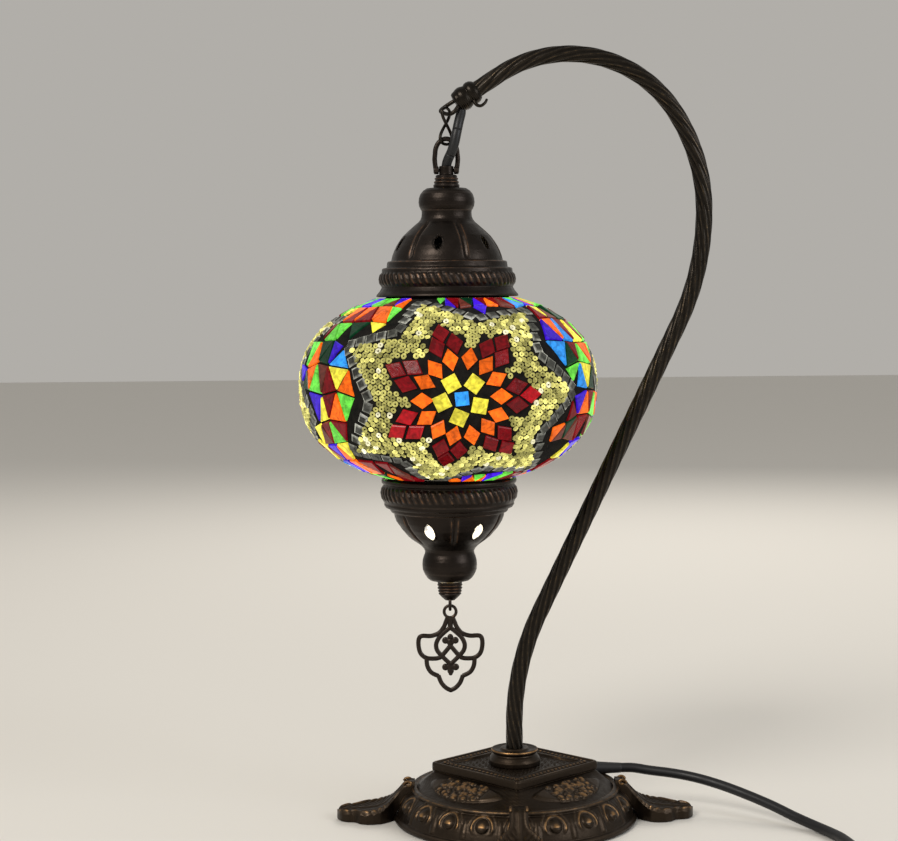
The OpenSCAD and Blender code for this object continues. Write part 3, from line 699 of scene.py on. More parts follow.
def border_tiles(mosaic, turn0, phase):
    """One row of clear bevelled squares along the star's edge, where the caps leave room."""
    corners = []
    for k in range(2 * PETALS + 1):
        a = phase + k * math.pi / PETALS
        r = (STAR_TIP if k % 2 == 0 else STAR_NOTCH) - 3.6
        corners.append((r * math.cos(a), r * math.sin(a)))
    for (x0, y0), (x1, y1) in zip(corners[:-1], corners[1:]):
        long = math.hypot(x1 - x0, y1 - y0)
        n = round(long / 7.3)
        lean = math.atan2(y1 - y0, x1 - x0)
        for i in range(n):
            f = (i + 0.5) / n
            x, y = x0 + (x1 - x0) * f, y0 + (y1 - y0) * f
            along = MEDALLION_Y + y
            if EDGE_DOWN + 4 < along < EDGE_UP - 4:
                size = 6.3 + rng.uniform(-0.3, 0.3)
                # rim gives each clear tile's bevels a painted glint, several times the glow of its top
                mosaic.tile(turn0 + x / girth_at(along), along, square(size, lean + rng.uniform(-0.1, 0.1)),
                            CLEAR, bevel=1.35, rim=rng.choice((4.0, 7.0, 11.0)))


def filler_tiles(mosaic):
    """Coloured triangles between the medallions, on a jittered lattice that closes up towards the caps."""
    rows, columns = 10, 36
    lattice = {}
    for i in range(rows + 1):
        for j in range(columns):
            inner = 0 < i < rows
            along = EDGE_DOWN + (EDGE_UP - EDGE_DOWN) * i / rows + inner * rng.uniform(-2.2, 2.2)
            turn = (j + 0.5 * (i % 2) + rng.uniform(-0.2, 0.2)) * TAU / columns
            lattice[i, j] = (turn, along)
    hues = [ORANGE, GREEN, DARK_RED, DEEP_BLUE, YELLOW, LIGHT_BLUE, ORANGE, DARK_GREEN, GREEN, DARK_RED,
            BROWN]
    for i in range(rows):
        for j in range(columns):
            for trio in (((i, j), (i, j + 1), (i + 1, j + i % 2)),
                         ((i + 1, j), (i + 1, j + 1), (i, j + 1 - i % 2))):
                corners = [(lattice[row, c % columns][0] + TAU * (c // columns), lattice[row, c % columns][1])
                           for row, c in trio]
                turn, along = np.mean(corners, axis=0)
                if in_star(turn, along, 2.4) or rng.random() < 0.07:
                    continue
                drawn = []
                for t, a in corners:
                    share = 0.87
                    while share > 0.3 and in_star(turn + (t - turn) * share, along + (a - along) * share,
                                                  0.6):
                        share -= 0.06
                    drawn.append(((t - turn) * share * girth_at(along), (a - along) * share))
                mosaic.tile(turn, along, drawn, rng.choice(hues))


def place_beads(heap):
    """Rings of pale gold glass, packed in the stars round the rosettes."""
    around, section = 10, 6
    a, b = circle(around)[:, None], circle(section)[None]
    reach = 1.08 + 0.56 * np.cos(b)
    ring = np.stack([reach * np.cos(a), reach * np.sin(a), 0.62 * np.sin(b) + 0 * a], -1).reshape(-1, 3)
    faces = grid_faces(around, section, ring_rows=True).tolist()
    for turn0, phase in MEDALLIONS:
        for i in range(-27, 27):
            for j in range(-26, 27):
                x = (j + 0.5 * (i % 2)) * BEAD_PITCH + rng.uniform(-0.4, 0.4)
                y = i * BEAD_PITCH * 0.87 + rng.uniform(-0.4, 0.4)
                along, edge = MEDALLION_Y + y, star_radius(math.atan2(y, x), phase) - 8.2
                in_reach = EDGE_DOWN + 1.5 < along < EDGE_UP - 1.5 and math.hypot(x, y) <= edge
                if not in_reach or covered(x, y, phase):
                    continue
                point, girth, meridian, normal = on_globe(turn0 + x / girth_at(along), along, -0.95)
                lean = Matrix.Rotation(rng.uniform(-0.45, 0.45), 3, "X") @ Matrix.Rotation(
                    rng.uniform(-0.45, 0.45), 3, "Y")
                turned = ring @ np.array(lean) * rng.uniform(0.9, 1.06)
                # glow sets how bright each bead's painted glow is, chosen at random
                glow = rng.choice((0.5, 0.75, 1.0, 1.0, 1.3, 1.9))
                tint = [glow * c for c in GOLD] if rng.random() < 0.93 else [0.9, 0.85, 0.55]
                heap.add(point + turned @ np.stack([girth, meridian, normal]), faces, (*tint, 1))


def covered(x, y, phase):
    """True where the rosette's tiles lie, with room for a bead beside them."""
    r, angle = math.hypot(x, y), math.atan2(y, x)
    a = folded(angle - phase, TAU / PETALS)
    along, aside = r * math.cos(a), abs(r * math.sin(a))
    if r < 28.5:
        return True
    if along < 37:
        return aside < 11.2 - max(0, 31 - along) * 0.2
    return aside < max(0.0, (48.0 - along)) * 0.72


def make_grout(mats):
    """Black joint between the tiles, with a short collar round the glass at each neck."""
    along = np.linspace(EDGE_DOWN - 3.2, EDGE_UP + 3.2, 160)
    turns = circle(256)
    grid_turn, grid_along = np.meshgrid(turns, along)
    points, *_ = on_globe(grid_turn, grid_along, -1.25)

    def collar(*heights):
        x, y = SHADE_X + GROUT_NECK * np.cos(turns), GROUT_NECK * np.sin(turns)
        return np.array([np.stack([x, y, np.full_like(x, GLOBE_Z + height)], -1) for height in heights])

    points = np.concatenate([collar(-54, -50.6), points, collar(50.6, 54)])
    grout = add_mesh("globe_grout", points, grid_faces(len(points), 256), mats["grout"], "shade", "grout")
    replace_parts(grout, "mosaic_grout")


# ---- Turned metal: caps, stub, finial, collar and ferrule ----


def lathe(profile, around, relief=None, step=0.5, closed=True, at=(SHADE_X, 0)):
    """Points, faces and rub of a turned wall. relief(angle, r, z) gives outward height and rub."""
    rows = resampled(profile, step)
    a, r = np.meshgrid(circle(around), rows[:, 0])
    z = rows[:, 1:] + 0 * a
    rub = np.zeros_like(r)
    if relief is not None:
        raised, rub = relief(a, r, z)
        ahead = np.gradient(rows, axis=0)
        ahead /= np.maximum(np.linalg.norm(ahead, axis=1), 1e-9)[:, None]
        r = r + raised * ahead[:, 1:2]
        z = z - raised * ahead[:, 0:1]
    points = np.stack([at[0] + r * np.cos(a), at[1] + r * np.sin(a), z], -1)
    return points, grid_faces(len(rows), around, ring_rows=closed), rub.ravel()


RIBS = 58


def gadroon(a, z, low, high):
    """Slanted ribs round a torus."""
    wave = np.abs(np.cos(RIBS / 2 * a + 0.35 * (z - low)))
    return band(z, low, high, 0.9) * (0.75 * wave**0.7 - 0.45), 0.55 * band(z, low, high, 0.6) * wave**3


def cap_relief(low, high, first, gore_low, gore_high, rings):
    """Relief of one cap: ribbed torus, six gores with creases between, and fine turned rings."""

    def relief(a, r, z):
        raised, rub = gadroon(a, z, low, high)
        off, half = folded(a - math.radians(first), TAU / 6), TAU / 12
        seam = (np.abs(off) - half) * r
        crease = bell(seam, 0, 1.1)
        swell = 1 - (off / half) ** 2
        inside = band(z, gore_low, gore_high, 2.0)
        raised = raised + inside * (0.5 * swell - 0.9 * crease)
        rub = np.maximum(rub, 0.55 * inside * bell(seam, -1.9, 0.7))
        for at, bright in rings:
            rub = np.maximum(rub, bright * bell(z, at, 0.45))
        return raised, rub

    return relief


def pierced(points, faces, first, r, z, tilt, width, height):
    """Points and faces with six almond windows cut out, the points beside them drawn on to their edges."""
    flat = points.reshape(-1, 3).copy()
    radius = (width**2 + height**2) / (4 * width)
    inside = np.zeros(len(flat), bool)
    for k in range(6):
        a = math.radians(first + 60 * k)
        out = np.array([math.cos(a) * math.cos(tilt), math.sin(a) * math.cos(tilt), math.sin(tilt)])
        side = np.array([-math.sin(a), math.cos(a), 0])
        up = np.cross(out, side)
        centre = np.array([SHADE_X + r * math.cos(a), r * math.sin(a), z])
        near = np.abs((flat - centre) @ out) < 7
        u, v = (flat - centre) @ side, (flat - centre) @ up
        # signed distance to the lens of two arcs that meet at its upper and lower points
        lens = np.hypot(np.abs(u) + radius - width / 2, v) - radius
        inside |= near & (lens < -0.35)
        rim = near & (np.abs(lens) <= 0.36)
        away = np.stack([(np.abs(u) + radius - width / 2) * np.sign(u), v], -1)
        away /= np.maximum(np.linalg.norm(away, axis=1), 1e-9)[:, None]
        flat[rim] -= lens[rim, None] * (away[rim, :1] * side + away[rim, 1:] * up)
    keep = ~inside[faces].any(axis=1)
    return flat, faces[keep]


UPPER_CAP = [
    (40.6, 297.4), (40.2, 298.4), (38.6, 300.2), (37.4, 302.4), (37.9, 303.6), (38.6, 305), (38.9, 307.2),
    (38.4, 309.4), (37.3, 310.8), (37.3, 311.4), (37.1, 312.9), (36.4, 313.4), (34.6, 313.7), (34.4, 314.6),
    (34.2, 316.6), (33.6, 317.2), (31.9, 317.5), (31.6, 318.3), (31, 320), (29.9, 323), (28.6, 325.7),
    (27, 328.3), (24.8, 331.3), (22, 334), (18.7, 336.9), (16.2, 339.3), (15, 341), (14.4, 342.6),
    (14.2, 344.6),
    (14.3, 346), (14.9, 346.9), (15.7, 348.6), (16, 350.8), (15.8, 353), (15, 355.4), (13.4, 357.4),
    (11.4, 358.7),
    (7.2, 358.7),
]
LOWER_CAP = [
    (7, 135.2), (11.2, 135.7), (12.8, 137), (14, 138.8), (14.7, 140.2), (15.4, 142), (15.6, 144.6),
    (15.4, 147), (14.8, 149.2), (14.1, 151), (14, 152.4), (14.8, 154), (16.4, 155.6), (18.6, 157.4),
    (23, 161.1), (27.1, 165.7), (29.6, 169.6), (30.8, 172.6), (31.4, 174.6), (33, 174.9), (33.6, 175.8),
    (33.9, 177), (36.2, 177.6), (37, 178.9), (36.9, 180.2), (37.4, 181), (38.4, 182.9), (38.9, 186),
    (38.4, 188.3), (37.6, 189.6), (37.2, 190.6), (38.2, 191.4), (38.5, 192.4), (38.3, 193.6), (36.9, 193.9),
]


CAP_WALL = 1.1
# height under which the caps' points carry the painted glow of the lower cap's inner face
GLOW_PAINTED_BELOW = 176


def make_cap(name, profile, relief, window, mats, node, lit=False):
    points, faces, rub = lathe(profile, 696, relief, 0.45, closed=False)
    points, faces = pierced(points, faces, *window)
    cap = add_mesh(name, points, faces, mats["cap"], "shade", "cap_bronze", rub=rub,
                   glow=points[:, 2] < GLOW_PAINTED_BELOW)
    sheet = cap.modifiers.new("sheet", "SOLIDIFY")
    sheet.thickness, sheet.offset = CAP_WALL * MM, -1
    # the lower cap's inner face takes the painted glow sheet
    if lit:
        cap.data.materials.append(mats["painted_glow_sheet"])
        sheet.material_offset = 1
    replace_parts(cap, node)


def make_caps(mats):
    lean = math.radians(34)
    make_cap(
        "upper_cap_turned", UPPER_CAP,
        cap_relief(303.9, 310.4, 20, 319, 339, ((312.9, 0.5), (317, 0.6), (298.2, 0.35), (346, 0.45),
                                                (356, 0.4))),
        (20, 27.4, 327, lean, 6.6, 10.5), mats, "upper_cap",
    )
    make_cap(
        "lower_cap_turned", LOWER_CAP,
        cap_relief(182.4, 189.4, 6, 158, 173.5, ((193, 0.3), (180, 0.5), (177.2, 0.5), (174.8, 0.6),
                                                 (140, 0.4))),
        (6, 26.4, 165.6, math.radians(-41), 8.0, 13.5), mats, "lower_cap", lit=True,
    )

    def rings(pitch, low, high):
        def relief(a, r, z):
            wave = np.cos((z - low) / pitch * TAU)
            inside = band(z, low, high, 0.3)
            return 0.32 * inside * wave, 0.7 * inside * np.clip(wave, 0, 1) ** 3
        return relief

    stub = [(3.4, 359), (7.3, 359), (7.5, 359.8), (7.2, 361), (6.6, 363.4), (6.3, 365.6), (5.8, 366.2),
            (4.1, 366.6), (4.1, 371.2), (3.8, 371.4), (3.4, 371.2)]
    turned = Heap()
    turned.add(*lathe(stub, 64, rings(1.9, 360.4, 365.6), 0.25))
    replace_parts(turned.build("stub_turned", mats["cap"], "shade", "cap_bronze"), "cap_stub")
    finial = Heap()
    profile = [(0.05, 124.1), (1.6, 124), (2.8, 124.2), (4.2, 125.4), (5.6, 126.8), (6.4, 128), (6.5, 129.4),
               (6.8, 131), (6.9, 133), (7, 134.6), (6.4, 134.8), (2.4, 134.8)]
    finial.add(*lathe(profile, 72, rings(1.75, 127.6, 133.4), 0.22, closed=False))
    turns = circle(40)
    eye = np.stack([SHADE_X + 0 * turns, 3.8 * np.cos(turns), 122.5 + 3.8 * np.sin(turns)], -1)
    finial.add(*tube(eye, 0.9, 12, closed=True), 0.25)
    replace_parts(finial.build("finial_turned", mats["cap"], "shade", "cap_bronze"), "bottom_finial")


# ---- Arm, ferrule, hook, link and bail ----

ARM_MOVES = [(19, 0), (147, -26.2), (182, 0), (149, 26.2), (103, 33), (72, 90), (20, 0)]


def arm_path(step):
    """Points and heading of the arm's centreline: straight runs and arcs, turned one after another."""
    x, z, heading = 0.0, 33.0, 90.0
    points = [(x, 0.0, z)]
    for size, turn in ARM_MOVES:
        long = size if turn == 0 else abs(math.radians(turn)) * size
        n = max(1, round(long / step))
        for _ in range(n):
            half = turn / n / 2
            chord = long / n if turn == 0 else 2 * size * math.sin(abs(math.radians(half)))
            x += chord * math.cos(math.radians(heading + half))
            z += chord * math.sin(math.radians(heading + half))
            heading += 2 * half
            points.append((x, 0.0, z))
    return np.array(points), heading


FLUTES, FLUTE_PITCH = 10, 125.0


def make_arm(mats):
    path, heading = arm_path(1.2)
    run = np.concatenate([[0], np.cumsum(np.linalg.norm(np.diff(path, axis=0), axis=1))])
    a = circle(80)
    wave = np.abs(np.cos(FLUTES / 2 * (a[None, :] + run[:, None] * TAU / FLUTE_PITCH)))
    r = 4.12 + 0.68 * wave**0.6
    heap = Heap()
    heap.add_grid(path[:, None, :] + r[..., None] * rings_along(path, a), 0.55 * wave**6)
    ahead = np.array([math.cos(math.radians(heading)), 0, math.sin(math.radians(heading))])
    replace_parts(heap.build("arm_fluted", mats["arm"], "stand", "arm_bronze"), "arm_tube")
    make_knob(mats, path[-1], ahead)


def make_knob(mats, tip, ahead):
    """Bulbous knob at the arm's end, bound with wire, with a small curl beneath."""
    profile = np.array([(4.2, -5), (5.3, -5), (6, -4.2), (6.7, -3), (6.95, -1.4), (6.7, 0), (6.1, 1),
                        (6.3, 1.8),
                        (6.8, 3), (7.0, 4.4), (6.8, 5.8), (6.4, 6.9), (6.2, 7.6), (6, 8.6), (5.3, 9.5),
                        (3.5, 9.8), (0.05, 9.85)])
    rows = resampled(profile, 0.3)
    side = np.array([0.0, 1.0, 0.0])
    up = np.cross(side, ahead)
    a = circle(96)
    stripes = np.cos(rows[:, 1] * TAU / 1.05)[:, None] * np.ones(96)
    under = np.clip(-np.cos(a), 0, 1)[None, :] * band(rows[:, 1], -3.5, 8.5, 0.8)[:, None]
    r = rows[:, :1] + 0.22 * stripes * under
    ring = np.cos(a)[None, :, None] * up + np.sin(a)[None, :, None] * side
    points = tip + rows[:, 1][:, None, None] * ahead + r[..., None] * ring
    heap = Heap()
    heap.add_grid(points, 0.8 * under * np.clip(stripes, 0, 1) ** 2)
    curl = rounded([(-20, -3.8, 408.5), (-18.5, -4.6, 405.8), (-16, -4.6, 405.2), (-13.6, -3.8, 407),
                    (-12.6, -2.6, 409)], 8)
    heap.add(*tube(curl, np.linspace(1.1, 0.75, len(curl)), 10), 0.3)
    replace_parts(heap.build("arm_knob", mats["arm"], "stand", "arm_bronze"), "arm_ferrule")


def make_hook(mats):
    hook = Heap()
    route = [(-28, 2.8, 410.5), (-31, 4, 409), (-35, 4.4, 406.6), (-38.4, 3.8, 404), (-38.6, 2.4, 402.6),
             (-36, 0, 401.2), (-33.8, -2.6, 400.8), (-32.4, -4, 401.2), (-30.8, -4.2, 402.4),
             (-29, -3.4, 405)]
    hook.add(*tube(rounded(route, 8), 1.2, 14), 0.15)
    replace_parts(hook.build("hook_wire", mats["arm"], "stand", "arm_bronze"), "hook")


def make_link(mats):
    """One loop of wire, pinched to a figure of eight and turned 50 degrees."""
    loops = Heap()
    turns = circle(96)
    c, s = math.cos(math.radians(50)), math.sin(math.radians(50))
    x, y = 4.3 * np.sin(2 * turns), 1.05 * np.cos(turns)
    loop = np.stack([SHADE_X + c * x - s * y, s * x + c * y, 394.2 + 10.4 * np.sin(turns)], -1)
    loops.add(*tube(loop, 0.9, 12, closed=True), 0.2)
    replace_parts(loops.build("link_wire", mats["arm"], "link", "arm_bronze"), "chain_link")


def make_bail(mats):
    """Wire stirrup with a washer on each of its pins."""
    bail = Heap()
    arch = np.radians(np.arange(180, -1, -6))
    stirrup = [(-5.8, 0, 368.4), (-6.3, 0, 372), (-6.6, 0, 375.5)] + [
        (6.3 * math.cos(t), 0, 378.5 + 8.5 * math.sin(t)) for t in arch] + [
        (6.6, 0, 375.5), (6.3, 0, 372), (5.8, 0, 368.4)]
    bail.add(*tube(rounded([(SHADE_X + x, y, z) for x, y, z in stirrup], 2), 1.4, 14), 0.12)
    washer = [(1.0, 3.4), (1.0, 4.3), (1.9, 4.3), (2.3, 4.7), (2.2, 6.8), (1.2, 7.3), (0.05, 7.35)]
    for way in (-1, 1):
        bail.add_grid(spun_x(resampled(washer, 0.25), 28, (SHADE_X, 0, 369), way), 0.35)
    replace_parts(bail.build("bail_wire", mats["cap"], "bail", "cap_bronze"), "bail")


def make_collar(mats):
    profile = [(14.2, 30.56), (14.5, 31.2), (14.5, 33.2), (14.1, 34.6), (13.2, 35.8), (12.4, 36.5),
               (12.2, 37.1),
               (12.7, 37.5), (13.2, 38), (13.3, 38.8), (13, 39.5), (12.2, 39.7), (10.5, 39.2), (8.8, 39),
               (8.2, 39.4), (7.7, 40), (6.2, 40.1), (5, 40)]

    def relief(a, r, z):
        edge = bell(r, 13.1, 0.5) * bell(z, 39.2, 0.8)
        ring = bell(r, 7.4, 0.6) * bell(z, 40, 0.6)
        return np.zeros_like(r), 0.8 * edge + 0.5 * ring + 0.25 * bell(z, 33.6, 0.6)

    collar = Heap()
    collar.add(*lathe(profile, 120, relief, 0.25, closed=False, at=(0, 0)))
    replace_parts(collar.build("collar_turned", mats["base"], "stand", "antique_bronze"), "arm_collar")


# ---- Cast base ----


PLATE_HALF = 34
TABLE = 0.42


def plate_reach(angle):
    """Distance from the axis to the edge of the diamond plate, its corners slightly rounded."""
    c, s = np.abs(np.cos(angle - TAU / 8)), np.abs(np.sin(angle - TAU / 8))
    return PLATE_HALF / (c**30 + s**30) ** (1 / 30)


SKIRT = [(62.2, 2.8), (62.2, 0.45), (68.4, TABLE), (69, 1.2), (69, 2.4), (68.2, 3.2), (67, 3.6), (66.9, 4.4),
         (66.4, 6), (65.7, 8), (64.7, 10), (63.4, 12.2), (61.7, 14.2), (60, 15.6), (58.8, 16.2), (59, 16.8),
         (59.2, 17.5), (58.8, 18.3), (58, 18.7), (56.8, 18.6), (55.8, 18.3)]
PLATE = [(1.2, 26.9), (0.1, 27.5), (0.02, 28.3), (0.02, 30.9), (0.3, 31.6), (1, 32), (1.8, 31.9), (2.4, 31.2),
         (2.6, 30.95), (5.4, 31.05), (8.2, 30.95), (8.4, 31.2), (8.8, 31.85), (9.6, 32), (10.4, 31.8),
         (10.8, 30.9), (11.2, 30.5)]


def egg_and_dart(a, z):
    """Small eggs under the ledge in arched frames, with darts between them over a plain skirt."""
    x, y = folded(a, TAU / 20) * 62, z - 11.6
    egg = np.clip(1 - (x / 3.5) ** 2 - (y / 3.3) ** 2, 0, 1)
    frame = np.hypot(x / 5.7, (y + 0.4) / 5.0)
    arch = bell(frame, 1, 0.13) * smoothstep(-4.5, -1, y)
    scroll = bell(frame, 1.36, 0.1) * smoothstep(-1.5, 1.5, y)
    side = np.abs(x) - 9.75
    dart = np.clip(1 - (side / (0.4 + 0.16 * np.clip(7 - y, 0, 9))) ** 2, 0, 1) * band(y, -7, 2.5, 0.8)
    height = 2.1 * np.sqrt(egg) + 1.0 * arch + 0.55 * scroll + 0.6 * dart
    rub = 0.75 * np.clip(egg * 1.5 - 0.5, 0, 1) * (y > -0.5) + 0.7 * arch + 0.45 * scroll + 0.2 * dart
    return height, rub


def cartouche(a, r_flat, v, blobs):
    """Raised lens of foliage on each of the four slanting sides."""
    off = (a % (TAU / 4)) - TAU / 8
    x, y = r_flat * np.sin(off), v
    lens = 1 - (np.abs(x) / 28) ** 1.7 - ((y - 0.52) / 0.38) ** 2
    inside = smoothstep(0, 0.13, lens)
    leafage = np.zeros_like(x)
    for bx, by, size in blobs:
        d = np.hypot(x - bx, (y - by) * 24) / size
        leafage = np.maximum(leafage, np.sqrt(np.clip(1 - d**2, 0, 1)) * min(size / 1.7, 1.0))
    tip = smoothstep(14, 18, np.abs(x))
    leafage = leafage * (1 - tip) + 0.6 * tip * smoothstep(0.05, 0.3, lens)
    return inside * (0.6 + 1.3 * leafage), inside * (0.08 + 0.7 * leafage**2)


def make_base(mats):
    columns = 960
    a = circle(columns)
    reach = plate_reach(a)
    skirt = resampled(SKIRT, 0.42)
    plate = resampled(PLATE, 0.36)
    rise = np.linspace(0, 1, 66)[1:-1]
    floor = np.linspace(0, 1, 50)[1:]
    blobs = [(rng.uniform(-16, 16), rng.uniform(0.2, 0.84), rng.uniform(0.9, 2.2)) for _ in range(120)]

    r = [np.broadcast_to(skirt[:, :1], (len(skirt), columns))]
    z = [np.broadcast_to(skirt[:, 1:], (len(skirt), columns))]
    start, edge = skirt[-1], reach - plate[0][0]
    ease = rise[:, None]
    r.append(start[0] + (edge - start[0]) * ease)
    z.append(np.broadcast_to(start[1] + (plate[0][1] - start[1]) * ease**0.94, (len(rise), columns)))
    r.append(reach[None, :] - plate[:, :1])
    z.append(np.broadcast_to(plate[:, 1:], (len(plate), columns)))
    inner = reach - plate[-1][0]
    r.append(inner[None, :] + (13.8 - inner[None, :]) * floor[:, None])
    z.append(np.full((len(floor), columns), plate[-1][1]))
    r, z = np.concatenate(r), np.concatenate(z)
    aa = np.broadcast_to(a, r.shape)
    rows = np.arange(len(r))[:, None]
    first, second, third = len(skirt), len(skirt) + len(rise), len(skirt) + len(rise) + len(plate)

    out, up, rub = np.zeros_like(r), np.zeros_like(r), np.zeros_like(r)
    eggs, egg_rub = egg_and_dart(aa, z)
    on_skirt = (rows < first) * band(z, 4.4, 16.8, 0.9)
    out += on_skirt * eggs
    rub += on_skirt * egg_rub
    rub += (rows < first) * (0.55 * bell(z, 18.2, 0.6) + 0.35 * bell(z, 2.9, 0.5)) * (r > 55)

    v = np.zeros_like(r)
    v[first:second] = rise[:, None]
    lens, lens_rub = cartouche(aa, r, v, blobs)
    on_side = (rows >= first) & (rows < second)
    up += on_side * lens * 0.85
    out += on_side * lens * 0.4
    rub += on_side * lens_rub
    fine = np.sin(aa * 61 + 5 * v) * np.sin(v * 40 + 7 * np.cos(aa * 9))
    out += on_side * (lens < 0.1) * 0.08 * fine
    off = (aa % (TAU / 4)) - TAU / 8
    along = r * np.sin(off)
    inset = reach[None, :] * np.cos(off) - r * np.cos(off)

    on_plate = (rows >= second) & (rows < third)
    bead = np.clip(1 - (folded(along, 3.1) / 1.25) ** 2 - ((inset - 5.3) / 1.6) ** 2, 0, 1)
    beaded = band(inset, 2.8, 8.0, 0.3)
    up += on_plate * beaded * (np.sqrt(bead) * 0.9)
    rub += on_plate * (0.8 * np.clip(bead * 2 - 0.8, 0, 1) * beaded
                       + 0.55 * bell(inset, 1.1, 0.6) + 0.5 * bell(inset, 9.5, 0.6))
    on_floor = rows >= third
    x, y = r * np.cos(aa), r * np.sin(aa)
    pebble = np.zeros_like(r)
    for i in range(3):
        turn = 0.7 + 1.1 * i
        u, w = x * math.cos(turn) + y * math.sin(turn), y * math.cos(turn) - x * math.sin(turn)
        pebble += np.sin(u * 2.3 + i) * np.sin(w * 2.5 + 2 * i)
    up += on_floor * 0.14 * pebble
    rub += on_floor * 0.12 * np.clip(pebble, 0, 1)

    shell = np.stack([(r + out) * np.cos(aa), (r + out) * np.sin(aa), z + up], -1)
    heap = Heap()
    heap.add_grid(shell, np.clip(rub, 0, 1))
    for k in range(4):
        leaf_foot(heap, k)
    boss = [(13.8, 30.3), (5.3, 30.3), (5.3, 24.1), (33, 24.1), (46, 16.1), (52, 15.6), (60, 9.1), (62, 4.1),
            (62.2, 2.8)]
    heap.add(*lathe(boss, 96, None, 3, closed=False, at=(0, 0)))
    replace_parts(heap.build("base_cast", mats["base"], "stand", "antique_bronze"), "base_casting")


LEAF_EDGE = [(57, 5.2), (62, 5), (66, 5), (69, 6), (72, 9.8), (76, 13.2), (80, 14.3), (84, 14.2), (88, 12.6),
             (90.4, 9.2), (92, 8.4), (95, 8.4), (98, 7), (100, 4.2), (101.3, 0.6)]
LEAF_TOP = [(57, 21.5), (60, 21.6), (63, 20), (66, 16.6), (69, 13.4), (72, 10.4), (75, 8.2), (79, 6.8),
            (84, 6.2),
            (90, 5.8), (96, 5.6), (100, 4.9), (101.3, 3.4)]


def leaf_foot(heap, quarter):
    """Acanthus leaf that climbs to the ledge: a rib, curled lobes and veins."""
    n, m = 110, 72
    along = np.linspace(57, 101.3, n)
    half = np.interp(along, *zip(*LEAF_EDGE))
    top = np.interp(along, *zip(*LEAF_TOP))
    for _ in range(2):
        half[1:-1] = (half[:-2] + half[1:-1] + half[2:]) / 3
        top[1:-1] = (top[:-2] + top[1:-1] + top[2:]) / 3
    t = np.linspace(-1, 1, m)
    x = np.broadcast_to(along[:, None], (n, m))
    y = half[:, None] * np.sin(t * math.pi / 2)[None, :]
    share = np.abs(y) / half[:, None]
    height = top[:, None] * np.ones_like(y)
    wide = smoothstep(66, 76, x)
    vein = np.abs(np.cos(1.7 * (np.abs(y) * 0.55 + (x - 70) * 0.42)))
    ripple = wide * (0.75 * vein**0.6 - 0.4) * smoothstep(0.05, 0.3, share)
    midrib = 0.9 * bell(y, 0, 1.1) * smoothstep(60, 66, x)
    curl = 1.1 * bell(share, 0.86, 0.1) * wide
    sides = bell(share, 0.75, 0.16) * (1 - wide) * 0.9
    height = height + ripple + midrib + curl + sides - 1.4 * smoothstep(0.9, 1.0, share) * wide
    height = height - (1 - wide) * 1.6 * share**3
    rub = np.clip(0.34 * curl + 0.4 * midrib + 0.3 * wide * vein**4 * (share > 0.2) + 0.4 * sides, 0, 1)
    foot = np.where(x > 69, TABLE, np.interp(x, [57, 69], [17.0, 3.0]))
    sheet = np.stack([x, y, height], -1)
    rim_low = np.stack([x, y, foot + 0 * y], -1)
    turn = quarter * math.pi / 2
    c, s = math.cos(turn), math.sin(turn)

    def turned(points):
        flat = points.reshape(-1, 3)
        return np.stack([c * flat[:, 0] - s * flat[:, 1], s * flat[:, 0] + c * flat[:, 1], flat[:, 2]], -1)

    heap.add(turned(sheet), strip_faces(n, m), rub.ravel())
    heap.add(turned(rim_low), strip_faces(n, m)[:, ::-1], 0.0)
    for edge in (0, m - 1):
        wall = np.stack([sheet[:, edge], rim_low[:, edge]], 1)
        heap.add(turned(wall), strip_faces(n, 2) if edge else strip_faces(n, 2)[:, ::-1], 0.0)
    wall = np.stack([sheet[-1], rim_low[-1]], 1)
    heap.add(turned(wall), strip_faces(m, 2), 0.0)
    for side in (-1, 1):
        spiral = [(60.6 + (2.6 - 0.26 * k) * math.cos(0.75 * k), side * 4.4,
                   20.2 + (2.0 - 0.2 * k) * math.sin(0.75 * k)) for k in range(9)]
        points, faces = tube(rounded(spiral, 4), 0.8, 10)
        heap.add(turned(points), faces, 0.6)


def strip_faces(rows, columns):
    a, b = np.meshgrid(np.arange(rows - 1), np.arange(columns - 1), indexing="ij")
    return np.stack([a * columns + b, (a + 1) * columns + b, (a + 1) * columns + b + 1, a * columns + b + 1],
                    -1).reshape(-1, 4)


# ---- Pendant ----

OUTER_PETAL = [(1.5, -3.6), (2.5, -6), (3.8, -9), (6.5, -12.2), (11, -13.8), (16.2, -13.8), (18, -15.6),
               (18.1, -20), (16.8, -24), (13.5, -26.4), (8.5, -26.7), (5.5, -26)]
LOWER_PETAL = [(13.7, -26.6), (13.2, -31), (11, -34.6), (6.9, -36.7)]
BOTTOM_PETAL = [(7, -36.4), (5.4, -40.4), (3, -43.2), (0.6, -44.6), (-0.6, -44.8)]
OGEE = [(-0.5, -8.6), (0.8, -9.7), (3.4, -11.8), (6.4, -14.8), (8.1, -18.5), (7.6, -22), (5.2, -25),
        (2.6, -27.6),
        (0, -30)]
STRAND = [(0, -19.4), (2.8, -22.8), (5.6, -26)]
PENDANT_Z = 117.5


